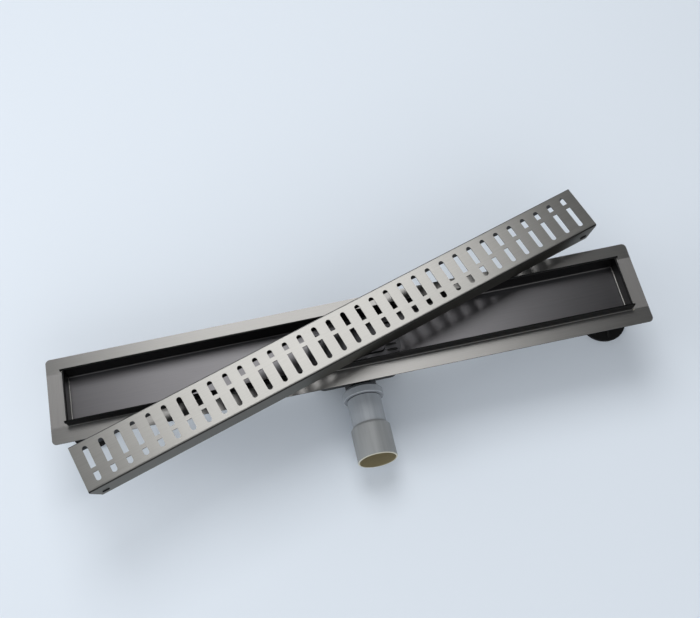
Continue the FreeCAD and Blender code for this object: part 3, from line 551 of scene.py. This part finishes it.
# %% Dress the solids
FINISHES = {
    steel_along: ["trough"],
    steel_across: ["end_cap_left", "end_cap_right"],
    steel_cover: ["cover"],
    steel_sieve: ["sieve"],
    # The funnel's black is painted shade.
    black_plastic: ["trap_body", "funnel"],
    white_plastic: ["trap_cup"],
    black_rubber: ["trap_gasket", "funnel_seal", "outlet_seal", "foot_left_pad", "foot_right_pad"],
    grey_pipe: ["outlet_pipe"],
    grey_coupling: ["outlet_coupling"],
    zinc: ["clamp_studs", "clamp_nuts"],
}
for side in ("left", "right"):
    FINISHES[zinc] += [f"foot_{side}_boss", f"foot_{side}_stud", f"foot_{side}_nut"]


def dress(piece, material):
    """Gives a piece one finish in place of what it had."""
    piece.data.materials.clear()
    piece.data.materials.append(material)


for material, names in FINISHES.items():
    for name in names:
        dress(nodes[name], material)
print("dressed:", sum(len(names) for names in FINISHES.values()), "of", len(nodes), "nodes")

# %% [markdown]
# ## Working on pieces
#
# An operator acts on all that is selected, so each step first picks its piece alone. What repeats
# on the drain is modelled once and copied, each copy with a mesh of its own, because copies that
# share a mesh can't have their places put into it.

# %% Picking and copying
def only(piece):
    """Selects one piece and makes it the active one."""
    bpy.ops.object.select_all(action="DESELECT")
    piece.select_set(True)
    bpy.context.view_layer.objects.active = piece


def copy_of(piece, move):
    """A copy with its own mesh, moved by this much."""
    only(piece)
    bpy.ops.object.duplicate()
    bpy.ops.transform.translate(value=move)
    return bpy.context.object


only(nodes["trough"])
print("picked:", [piece.name for piece in bpy.context.selected_objects])

# %% [markdown]
# A piece is finished in the same way each time. Its place goes into its mesh, so that a pattern in
# its finish starts from the drain's own zero. Then it gets its name, its finish and the body that it
# rides on, here the only one.

# %% Joining and finishing
def joined(pieces):
    """One object made of several."""
    only(pieces[0])
    for piece in pieces:
        piece.select_set(True)
    bpy.ops.object.join()
    return bpy.context.object


def settle(piece, name, material):
    """Finishes a piece: its place goes into its mesh, and it rides on the drain."""
    only(piece)
    bpy.ops.object.transform_apply(location=True, rotation=True, scale=True)
    piece.name = name
    piece.data.name = name
    dress(piece, material)
    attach(piece, "root")
    return piece


# %% [markdown]
# A new piece has to stand exactly where the solid that it replaces stands. We read that off the
# solid's own box: its middle seen from above, and its lowest and highest levels.

# %% Where the solids stand
def middle_of(node):
    """Where a node stands, seen from above."""
    low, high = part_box(node)
    return ((low[0] + high[0]) / 2, (low[1] + high[1]) / 2)


def levels_of(node):
    """A node's lowest and highest levels."""
    low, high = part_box(node)
    return low[2], high[2]


left_place = middle_of("foot_left_stud")
right_place = middle_of("foot_right_stud")
foot_apart = (right_place[0] - left_place[0], 0, 0)
print("feet are", round(foot_apart[0] / MM, 1), "mm apart")

# %% [markdown]
# ## Threaded studs
#
# Each foot stands on an M8 stud, and four M5 studs clamp the trap. In the frame they are smooth
# rods. A thread is one tooth carried up a helix. Rings stacked up would look much the same from
# afar, but their crests would be level, and a real crest climbs. So we draw one tooth: a plane is
# shrunk to a single point, and the point is extruded four times.

# %% One tooth of a thread
# All four are parts of the pitch.
TOOTH_DEPTH = 0.6
TOOTH_SLOPE = 0.375
TOOTH_CREST = 0.125
START_BELOW = 1.5


def tooth_line(place, bottom, radius, pitch):
    """The outline of one tooth, just below the stud's lower end."""
    depth = TOOTH_DEPTH * pitch
    slope = TOOTH_SLOPE * pitch
    crest = TOOTH_CREST * pitch
    bpy.ops.object.select_all(action="DESELECT")
    bpy.ops.mesh.primitive_plane_add(size=MM, location=(*place, bottom - START_BELOW * pitch))
    bpy.ops.object.mode_set(mode="EDIT")
    bpy.ops.mesh.select_all(action="SELECT")
    bpy.ops.mesh.merge(type="CENTER")
    bpy.ops.transform.translate(value=(radius - depth, 0, 0))
    for out, up in ((depth, slope), (0, crest), (-depth, slope), (0, crest)):
        bpy.ops.mesh.extrude_region_move(TRANSFORM_OT_translate={"value": (out, 0, up)})
    bpy.ops.object.mode_set(mode="OBJECT")
    return bpy.context.object


print("one tooth rises", 2 * (TOOTH_SLOPE + TOOTH_CREST), "of the pitch, so each turn meets the next")

# %% [markdown]
# The Screw modifier carries the tooth round the axis and up. It runs past both ends of the stud,
# and then both ends are sliced off square and filled, as a saw would leave them.

# %% A stud from its tooth
TURN_STEPS = 20
SPARE_TURNS = 3
SAME_POINT = 0.005 * MM
THREAD_EDGE = math.radians(35)


def threaded_stud(place, levels, radius, pitch):
    """A stud with its thread from end to end."""
    bottom, top = levels
    stud = tooth_line(place, bottom, radius, pitch)
    thread = stud.modifiers.new("thread", "SCREW")
    thread.axis = "Z"
    thread.screw_offset = pitch
    thread.iterations = math.ceil((top - bottom) / pitch) + SPARE_TURNS
    thread.steps = TURN_STEPS
    thread.render_steps = TURN_STEPS
    bpy.ops.object.modifier_apply(modifier="thread")
    bpy.ops.object.mode_set(mode="EDIT")
    bpy.ops.mesh.select_all(action="SELECT")
    bpy.ops.mesh.remove_doubles(threshold=SAME_POINT)
    for level, below in ((bottom, True), (top, False)):
        bpy.ops.mesh.select_all(action="SELECT")
        bpy.ops.mesh.bisect(
            plane_co=(*place, level), plane_no=(0, 0, 1), use_fill=True,
            clear_inner=below, clear_outer=not below,
        )
    bpy.ops.mesh.select_all(action="SELECT")
    bpy.ops.mesh.normals_make_consistent(inside=False)
    bpy.ops.object.mode_set(mode="OBJECT")
    bpy.ops.object.shade_smooth_by_angle(angle=THREAD_EDGE)
    return stud


print("each turn of a thread has", TURN_STEPS, "steps")

# %% [markdown]
# The left foot's stud is made first, and the right one is its copy. The solid that each stands for is then
# hidden.

# %% The feet's studs
FOOT_RADIUS = 4 * MM
FOOT_PITCH = 1.25 * MM
left_stud = threaded_stud(left_place, levels_of("foot_left_stud"), FOOT_RADIUS, FOOT_PITCH)
right_stud = copy_of(left_stud, foot_apart)
for side, stud in (("left", left_stud), ("right", right_stud)):
    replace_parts(settle(stud, f"foot_{side}_thread", zinc), f"foot_{side}_stud")
print("foot studs:", [len(stud.data.polygons) for stud in (left_stud, right_stud)], "faces")

# %% [markdown]
# The four clamp studs are one solid in the frame, so they are joined to one piece here as well.
# They stand at the corners of a rectangle round the trap's opening.

# %% The clamp's studs
CLAMP_RADIUS = 2.5 * MM
CLAMP_PITCH = 0.8 * MM
CLAMP_ALONG = 66.5 * MM
CLAMP_ACROSS = 22 * MM
clamp_middle = middle_of("clamp_studs")
first_clamp = (clamp_middle[0] - CLAMP_ALONG, clamp_middle[1] - CLAMP_ACROSS)
CLAMP_MOVES = [(2 * CLAMP_ALONG, 0, 0), (0, 2 * CLAMP_ACROSS, 0), (2 * CLAMP_ALONG, 2 * CLAMP_ACROSS, 0)]
clamp_stud = threaded_stud(first_clamp, levels_of("clamp_studs"), CLAMP_RADIUS, CLAMP_PITCH)
clamps = joined([clamp_stud] + [copy_of(clamp_stud, move) for move in CLAMP_MOVES])
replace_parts(settle(clamps, "clamp_threads", zinc), "clamp_studs")
print("clamp studs:", len(clamps.data.polygons), "faces in all")

# %% [markdown]
# ## Nuts
#
# A bought nut isn't a bare six-sided block. It was turned before it was cut, so its corners are
# rounded off towards both faces, at about 30 degrees. The turned blank is a disc with both rims
# bevelled. A bevel alone cuts at 45 degrees, so the disc is made too high and then squashed.

# %% The turned blank
SQUASH = 0.58
RIM_REACH = 1.1
BLANK_SIDES = 60


def turned_blank(middle, flats, corner, depth):
    """A disc whose rims slope at about 30 degrees, as high as the nut."""
    bpy.ops.object.select_all(action="DESELECT")
    bpy.ops.mesh.primitive_cylinder_add(
        vertices=BLANK_SIDES, radius=corner, depth=depth / SQUASH, location=middle
    )
    blank = bpy.context.object
    rim = blank.modifiers.new("rim", "BEVEL")
    rim.width = (corner - flats / 2) * RIM_REACH
    rim.segments = 1
    rim.limit_method = "ANGLE"
    bpy.ops.object.modifier_apply(modifier="rim")
    bpy.ops.object.mode_set(mode="EDIT")
    bpy.ops.mesh.select_all(action="SELECT")
    bpy.ops.transform.resize(value=(1, 1, SQUASH), center_override=middle)
    bpy.ops.object.mode_set(mode="OBJECT")
    return blank


print("rims slope at", round(math.degrees(math.atan(SQUASH))), "degrees")

# %% [markdown]
# The nut is what a six-sided block and the blank have in common, so a Boolean keeps their
# intersection. A second one takes the bore out. The bore is a little wider than the stud's crests,
# so that nut and stud don't share a face.

# %% A nut from its blank
NUT_SIDES = 6
HALF_SIDE = math.radians(30)
BORE_SIDES = 40
NUT_EDGE = math.radians(20)


def cut_with(piece, tool, operation):
    """Applies a Boolean with a tool, and removes the tool."""
    only(piece)
    cut = piece.modifiers.new("cut", "BOOLEAN")
    cut.operation = operation
    cut.object = tool
    cut.solver = "EXACT"
    bpy.ops.object.modifier_apply(modifier="cut")
    bpy.data.objects.remove(tool, do_unlink=True)


def hex_nut(place, levels, flats, bore):
    """A nut with turned corners, its corners towards +X and -X."""
    bottom, top = levels
    corner = flats / math.sqrt(3)
    depth = top - bottom
    middle = (*place, (bottom + top) / 2)
    bpy.ops.object.select_all(action="DESELECT")
    bpy.ops.mesh.primitive_cylinder_add(
        vertices=NUT_SIDES, radius=corner, depth=depth, location=middle, rotation=(0, 0, HALF_SIDE)
    )
    nut = bpy.context.object
    cut_with(nut, turned_blank(middle, flats, corner, depth), "INTERSECT")
    bpy.ops.object.select_all(action="DESELECT")
    bpy.ops.mesh.primitive_cylinder_add(vertices=BORE_SIDES, radius=bore, depth=2 * depth, location=middle)
    cut_with(nut, bpy.context.object, "DIFFERENCE")
    bpy.ops.object.shade_smooth_by_angle(angle=NUT_EDGE)
    return nut


print("a nut starts with", NUT_SIDES, "sides, and its bore has", BORE_SIDES)

# %% [markdown]
# An M8 nut is 13 mm over its flats and an M5 nut 8 mm. As with the studs, each is made once and
# copied, and the four clamp nuts are joined to one piece.

# %% The nuts
FOOT_FLATS = 13 * MM
FOOT_BORE = 4.05 * MM
CLAMP_FLATS = 8 * MM
CLAMP_BORE = 2.55 * MM
left_nut = hex_nut(left_place, levels_of("foot_left_nut"), FOOT_FLATS, FOOT_BORE)
right_nut = copy_of(left_nut, foot_apart)
for side, nut in (("left", left_nut), ("right", right_nut)):
    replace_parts(settle(nut, f"foot_{side}_lock_nut", zinc), f"foot_{side}_nut")
clamp_nut = hex_nut(first_clamp, levels_of("clamp_nuts"), CLAMP_FLATS, CLAMP_BORE)
nuts = joined([clamp_nut] + [copy_of(clamp_nut, move) for move in CLAMP_MOVES])
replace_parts(settle(nuts, "clamp_hex_nuts", zinc), "clamp_nuts")
print("foot nut, mm:", [round(size / MM, 2) for size in left_nut.dimensions])

# %% [markdown]
# ## Welds
#
# The end caps, the foot bosses and the clamp studs are all welded to the tray. Weld metal has no gunmetal
# coat, so it is paler than the sheet, and the heat tints it here and there. The ground welds along the
# floor are brighter still, partly for their polish and partly as a painted highlight of the bends at the
# foot of the end walls.

# %% Weld metal
TINT_SIZE = 5
TINT_DETAIL = 2.0
WELD_SMOOTHEST = 0.3
WELD_ROUGHEST = 0.5


def weld_steel(name, colour, tint):
    """Bare weld metal, tinted where it was hottest."""
    material, tree = new_finish(name)
    place = add_node(tree, "ShaderNodeTexCoord", {}, output="Object")
    clouds = {"Vector": place, "Scale": per_metre(TINT_SIZE)[0], "Detail": TINT_DETAIL}
    heat = add_node(tree, "ShaderNodeTexNoise", clouds)
    base = lay_over(tree, linear(colour), [(heat, linear(tint))])
    spread = {"To Min": WELD_SMOOTHEST, "To Max": WELD_ROUGHEST}
    rough = add_node(tree, "ShaderNodeMapRange", {"Value": heat, **spread})
    show_surface(tree, {"Base Color": base, "Metallic": 1.0, "Roughness": rough})
    return material


weld = weld_steel("stainless_weld_metal", "#8f8f90", "#a39a86")
# The ground weld's pale colour is partly a painted highlight.
ground_weld_and_highlight = weld_steel("stainless_weld_ground_and_highlight", "#c2c2bf", "#b2b0aa")
print("weld metals:", weld.name, ground_weld_and_highlight.name)

# %% [markdown]
# A weld run by hand shows as a row of ripples, one for each time the hand moved on. A plain rod
# would look like wire. So a straight bead is extruded from a small disc ring by ring, and each ring
# swells or pinches in turn.

# %% A straight bead
RIPPLE = 1.6 * MM
PINCH = 0.7
BEAD_SIDES = 12
FEWEST_RIPPLES = 2


def straight_bead(start, length, radius, turn=(0, 0, 0)):
    """A rippled bead that runs up from start, or to where turn points it."""
    rings = 2 * max(FEWEST_RIPPLES, round(length / RIPPLE))
    step = length / rings
    bpy.ops.object.select_all(action="DESELECT")
    bpy.ops.mesh.primitive_circle_add(
        vertices=BEAD_SIDES, radius=radius * PINCH, fill_type="NGON", location=(0, 0, 0)
    )
    bead = bpy.context.object
    bpy.ops.object.mode_set(mode="EDIT")
    bpy.ops.mesh.select_all(action="SELECT")
    for number in range(rings):
        bpy.ops.mesh.extrude_region_move(TRANSFORM_OT_translate={"value": (0, 0, step)})
        size = 1 / PINCH if number % 2 == 0 else PINCH
        bpy.ops.transform.resize(value=(size, size, 1), center_override=(0, 0, (number + 1) * step))
    bpy.ops.mesh.select_all(action="SELECT")
    bpy.ops.mesh.normals_make_consistent(inside=False)
    bpy.ops.object.mode_set(mode="OBJECT")
    bpy.ops.object.shade_smooth()
    bead.rotation_euler = turn
    bead.location = start
    return bead


print("a bead has a ripple every", RIPPLE / MM, "mm")

# %% [markdown]
# The points and faces that an operator should work on are chosen in code, by a test of their place,
# direction or number. A script marks them outside edit mode, so the helper steps out and back in.
# The bead round a boss uses it: it starts as a torus, and every third ring of it is pinched.

# %% A round bead
BEAD_RINGS = 3
RING_SIDES = 10
RING_PINCH = 0.3


def choose(piece, kind, wanted):
    """Selects, in edit mode, the vertices or faces that pass a test."""
    bpy.ops.object.mode_set(mode="EDIT")
    bpy.ops.mesh.select_mode(type=kind)
    bpy.ops.mesh.select_all(action="DESELECT")
    bpy.ops.object.mode_set(mode="OBJECT")
    for part in piece.data.vertices if kind == "VERT" else piece.data.polygons:
        part.select = wanted(part)
    bpy.ops.object.mode_set(mode="EDIT")


def round_bead(middle, ring_radius, radius):
    """A rippled bead round a boss."""
    rings = BEAD_RINGS * round(2 * math.pi * ring_radius / RIPPLE)
    bpy.ops.object.select_all(action="DESELECT")
    bpy.ops.mesh.primitive_torus_add(
        major_radius=ring_radius, minor_radius=radius, major_segments=rings, minor_segments=RING_SIDES,
        location=middle,
    )
    bead = bpy.context.object
    choose(bead, "VERT", lambda vertex: (vertex.index // RING_SIDES) % BEAD_RINGS == 0)
    bpy.ops.transform.shrink_fatten(value=-RING_PINCH * radius)
    bpy.ops.object.mode_set(mode="OBJECT")
    bpy.ops.object.shade_smooth()
    return bead


print("a round bead is pinched by", RING_PINCH, "of its radius at every ripple")

# %% [markdown]
# An end cap is held by five beads: one up each outer corner of the tray, one up each corner of its
# lips, and one across under the floor. They differ only in place and size.

# %% The beads of an end cap
UNDERSIDE = 88.3 * MM
WALL_OUT = 352 * MM
WALL_SIDE = 33.3 * MM
LIP_OUT = 353.5 * MM
LIP_TOP = 112 * MM
CORNER_AT = (WALL_OUT + 0.5 * MM, WALL_SIDE - 0.5 * MM, UNDERSIDE + 0.4 * MM)
CORNER_LENGTH = 9.6 * MM
CORNER_BEAD = 1.1 * MM
LIP_AT = (LIP_OUT + 0.1 * MM, WALL_SIDE - 0.1 * MM, LIP_TOP - 10.5 * MM)
LIP_LENGTH = 9 * MM
LIP_BEAD = 0.9 * MM
SEAM_AT = (WALL_OUT - 0.9 * MM, WALL_SIDE - 1.5 * MM, UNDERSIDE + 0.2 * MM)
SEAM_BEAD = 0.8 * MM
TOWARDS_NEAR = (math.radians(90), 0, 0)


def end_beads(sign):
    """The five beads of the left or right end cap, by the sign of its X."""
    beads = []
    for across in (-1, 1):
        corner = (sign * CORNER_AT[0], across * CORNER_AT[1], CORNER_AT[2])
        beads.append(straight_bead(corner, CORNER_LENGTH, CORNER_BEAD))
        lip = (sign * LIP_AT[0], across * LIP_AT[1], LIP_AT[2])
        beads.append(straight_bead(lip, LIP_LENGTH, LIP_BEAD))
    seam = (sign * SEAM_AT[0], SEAM_AT[1], SEAM_AT[2])
    beads.append(straight_bead(seam, 2 * SEAM_AT[1], SEAM_BEAD, TOWARDS_NEAR))
    return joined(beads)


print("bead across under the floor:", round(2 * SEAM_AT[1] / MM, 1), "mm long")

# %% [markdown]
# Inside, a bright thin line runs along the floor at the foot of each end wall: a ground weld, whose bright
# colour is also a painted highlight of the bend there. Under the floor, a round bead holds each foot's
# boss.

# %% The welds of both ends
WALL_IN = 350.8 * MM
GROUND_AT = (WALL_IN - 0.3 * MM, WALL_SIDE - 1 * MM, FLOOR_TOP + 0.3 * MM)
GROUND_BEAD = 0.6 * MM
BOSS_RING = 7.4 * MM
BOSS_BEAD = 0.9 * MM
BOSS_LEVEL = UNDERSIDE - 0.3 * MM
for side, sign in (("left", -1), ("right", 1)):
    settle(end_beads(sign), f"end_welds_{side}", weld)
    line = (sign * GROUND_AT[0], GROUND_AT[1], GROUND_AT[2])
    floor_seam = straight_bead(line, 2 * GROUND_AT[1], GROUND_BEAD, TOWARDS_NEAR)
    settle(floor_seam, f"floor_seam_{side}", ground_weld_and_highlight)
    boss = (*middle_of(f"foot_{side}_boss"), BOSS_LEVEL)
    settle(round_bead(boss, BOSS_RING, BOSS_BEAD), f"boss_weld_{side}", weld)
print("ground seams:", round(2 * GROUND_AT[1] / MM, 1), "mm long")

# %% [markdown]
# Two small welds are left: one tack at the near right corner, where the short strip meets the lip,
# and a ring round each clamp stud.

# %% The tack and the clamp's welds
TACK_AT = (LIP_OUT + 0.8 * MM, -36.9 * MM, FLANGE_TOP + 0.2 * MM)
TACK_LENGTH = 2 * MM
TACK_BEAD = 1 * MM
TOWARDS_RIGHT = (0, math.radians(90), 0)
CLAMP_RING = 2.8 * MM
CLAMP_BEAD = 0.5 * MM
CLAMP_LEVEL = UNDERSIDE - 0.1 * MM
tack = straight_bead(TACK_AT, TACK_LENGTH, TACK_BEAD, TOWARDS_RIGHT)
settle(tack, "tack_near_right", weld)
first_ring = round_bead((*first_clamp, CLAMP_LEVEL), CLAMP_RING, CLAMP_BEAD)
clamp_rings = joined([first_ring] + [copy_of(first_ring, move) for move in CLAMP_MOVES])
settle(clamp_rings, "clamp_welds", weld)

# %% [markdown]
# ## Rubber stops
#
# Near each end the cover's sides have an oblong slot, and each slot holds a small black rubber
# stop, which keeps the cover from rattling. A box with its corners bevelled would do. A short
# cylinder is simpler: it is oblong once its two halves are pulled apart, and its ends stay round.

# %% The oblong body of a stop
STOP_LENGTH = 9.4 * MM
STOP_HEIGHT = 4.4 * MM
STOP_LEVEL = 119.7 * MM
SKIRT_OUT = 31.5 * MM
SKIRT_IN = 30.3 * MM
STOP_SIDES = 32
OFF_MIDDLE = 0.0001 * MM


def oblong_body(middle):
    """A short cylinder along Y, with its left and right halves pulled apart."""
    bpy.ops.object.select_all(action="DESELECT")
    bpy.ops.mesh.primitive_cylinder_add(
        vertices=STOP_SIDES, radius=STOP_HEIGHT / 2, depth=SKIRT_OUT - SKIRT_IN, location=middle,
        rotation=(math.radians(90), 0, 0),
    )
    body = bpy.context.object
    bpy.ops.object.transform_apply(location=True, rotation=True, scale=True)
    for side in (-1, 1):
        choose(body, "VERT", lambda vertex: side * vertex.co.x > OFF_MIDDLE)
        bpy.ops.transform.translate(value=(side * (STOP_LENGTH - STOP_HEIGHT) / 2, 0, 0))
    bpy.ops.object.mode_set(mode="OBJECT")
    return body


print("a stop fills", round(STOP_LENGTH / MM, 1), "by", round(STOP_HEIGHT / MM, 1), "mm of its slot")

# %% [markdown]
# The body only fills the slot. Its outer face is now drawn out and rounded to a low dome. Its inner
# face is widened by a step too small to see, and drawn out to the flat head that holds the stop.

# %% One whole stop
STOP_STAND = 0.3 * MM
STOP_DOME = 0.5 * MM
DOME_SCALE = (0.85, 1, 0.7)
HEAD_STEP = 0.05 * MM
HEAD_SCALE = (1.15, 1, 1.15)
STOP_HEAD = 0.8 * MM
STOP_EDGE = math.radians(35)
FACING = 0.99


def rubber_stop():
    """A stop for the near side, in the cover's own frame and centred on X = 0."""
    middle = (0, -(SKIRT_OUT + SKIRT_IN) / 2, STOP_LEVEL)
    stop = oblong_body(middle)
    choose(stop, "FACE", lambda face: -face.normal.y > FACING)
    bpy.ops.mesh.extrude_region_move(TRANSFORM_OT_translate={"value": (0, -STOP_STAND, 0)})
    bpy.ops.mesh.extrude_region_move(TRANSFORM_OT_translate={"value": (0, -STOP_DOME, 0)})
    bpy.ops.transform.resize(value=DOME_SCALE, center_override=middle)
    choose(stop, "FACE", lambda face: face.normal.y > FACING)
    bpy.ops.mesh.extrude_region_move(TRANSFORM_OT_translate={"value": (0, HEAD_STEP, 0)})
    bpy.ops.transform.resize(value=HEAD_SCALE, center_override=middle)
    bpy.ops.mesh.extrude_region_move(TRANSFORM_OT_translate={"value": (0, STOP_HEAD, 0)})
    bpy.ops.object.mode_set(mode="OBJECT")
    bpy.ops.object.shade_smooth_by_angle(angle=STOP_EDGE)
    return stop


first_stop = rubber_stop()
print("stop, mm:", [round(size / MM, 2) for size in first_stop.dimensions])

# %% [markdown]
# The stop was made in the cover's own frame, where the sums are easy. Four copies go to the ends of
# both sides: turned round for the far side, moved along, and then turned and moved with the cover.
# Without a window, the rotate operator turns the other way, so it gets the cover's turn negative.

# %% The four stops
STOP_AT = 332 * MM


def put_on_cover(piece):
    """Turns and moves a piece from the cover's own frame to the cover's place."""
    only(piece)
    bpy.ops.transform.rotate(value=-math.radians(COVER_TURN), orient_axis="Z", center_override=(0, 0, 0))
    bpy.ops.transform.translate(value=(*COVER_CENTRE, 0))


stops = []
for along in (-STOP_AT, STOP_AT):
    for turn in (0, 180):
        stop = copy_of(first_stop, (0, 0, 0))
        bpy.ops.transform.rotate(value=math.radians(turn), orient_axis="Z", center_override=(0, 0, 0))
        bpy.ops.transform.translate(value=(along, 0, 0))
        put_on_cover(stop)
        stops.append(stop)
bpy.data.objects.remove(first_stop, do_unlink=True)
for number, stop in enumerate(stops, 1):
    settle(stop, f"cover_stop_{number}", black_rubber)
print("stops at:", [[round(c / MM, 1) for c in stop.data.vertices[0].co] for stop in stops])

# %% [markdown]
# ## Floor, light and camera
#
# The drain stands on a pale paper floor that fills the picture, because the camera looks steeply
# down. The floor lies a hair below the feet, so that the two don't share a face.

# %% Floor
FLOOR_SIZE = 12
FLOOR_GAP = 0.2 * MM
bpy.ops.object.select_all(action="DESELECT")
bpy.ops.mesh.primitive_plane_add(size=FLOOR_SIZE, location=(0, 0, -FLOOR_GAP))
studio_floor = bpy.context.object
studio_floor.name = "studio_floor"
dress(studio_floor, paper)
print("floor:", FLOOR_SIZE, "m wide,", FLOOR_GAP / MM, "mm below the feet")

# %% [markdown]
# Brushed steel shows what it mirrors, so the lamps are large and soft. One hangs high over the far
# side, turned with the cover: the steel mirrors it, bright in the middle and darker to the right,
# and it throws the soft shadow towards the camera. A smaller one at the left lights the edges that
# face it, and one at the near side fills the shadows.

# %% Lamps
TARGET = Vector((0, 0, 0.1))
LAMPS = {        # place, width, height, watts, turn
    "overhead_softbox": ((-0.02, 1.15, 2.2), 1.36, 1.5, 24.9, COVER_TURN),
    "left_window": ((-1.7, 0.2, 0.85), 1.0, 0.8, 9, 0),
    "near_fill": ((0.3, -1.7, 1.3), 1.6, 1.2, 9, 0),
}


def soft_lamp(name, place, width, height, watts, turn):
    """A rectangular lamp that faces the drain, turned in its own plane."""
    lamp = bpy.data.lights.new(name, "AREA")
    lamp.shape = "RECTANGLE"
    lamp.size = width
    lamp.size_y = height
    lamp.energy = watts
    holder = bpy.data.objects.new(name, lamp)
    holder.location = place
    facing = (TARGET - Vector(place)).to_track_quat("-Z", "Y")
    holder.rotation_euler = (facing @ Quaternion((0, 0, 1), math.radians(turn))).to_euler()
    bpy.context.scene.collection.objects.link(holder)


for name, (place, width, height, watts, turn) in LAMPS.items():
    soft_lamp(name, place, width, height, watts, turn)
    print(name, "hangs", round((TARGET - Vector(place)).length, 2), "m from the drain")

# %% [markdown]
# The world is the rest of the studio: a pale, even light from all sides, apart from one dark side
# above and behind the drain, to the right. What the steel mirrors from there stays dark. The
# darkness fades in by the angle to that side.

# %% World
WORLD_COLOUR = "#eef2f6"
DARK_SIDE = Vector((0.35, 0.45, 0.85)).normalized()
DARK_STARTS = 0.2
DARK_FULL = 0.95
FULL_STRENGTH = 1.0
DARK_STRENGTH = 0.1
world = bpy.data.worlds.new("studio_world")
bpy.context.scene.world = world
world.use_nodes = True
room = world.node_tree
direction = add_node(room, "ShaderNodeTexCoord", {}, output="Generated")
towards = add_node(room, "ShaderNodeVectorMath", {0: direction, 1: DARK_SIDE}, DOT, "Value")
fade = {"From Min": DARK_STARTS, "From Max": DARK_FULL, "To Min": FULL_STRENGTH, "To Max": DARK_STRENGTH}
strength = add_node(
    room, "ShaderNodeMapRange", {"Value": towards, **fade}, {"interpolation_type": "SMOOTHSTEP"}
)
background = room.nodes["Background"]
background.inputs["Color"].default_value = linear(WORLD_COLOUR)
room.links.new(strength, background.inputs["Strength"])
print("world:", world.name, "with strength", FULL_STRENGTH, "down to", DARK_STRENGTH)

# %% [markdown]
# The camera's place, turn and lens were fitted so that the flange, the lips, the cover and the pipe
# fall where they do in the photograph. The Standard view shows a colour as it is written.

# %% Camera
CAMERA_PLACE = (-76.85 * MM, -574.86 * MM, 1305.91 * MM)
CAMERA_TURN = (27.299, 2.008, -11.899)
LENS = 55.361
SENSOR_WIDTH = 36
camera_data = bpy.data.cameras.new("camera")
camera_data.lens = LENS
camera_data.sensor_width = SENSOR_WIDTH
camera = bpy.data.objects.new("camera", camera_data)
camera.location = CAMERA_PLACE
camera.rotation_euler = [math.radians(angle) for angle in CAMERA_TURN]
bpy.context.scene.collection.objects.link(camera)
bpy.context.scene.camera = camera
bpy.context.scene.view_settings.view_transform = "Standard"
print("camera", round((TARGET - camera.location).length, 2), "m from the drain, with a", LENS, "mm lens")

# %% [markdown]
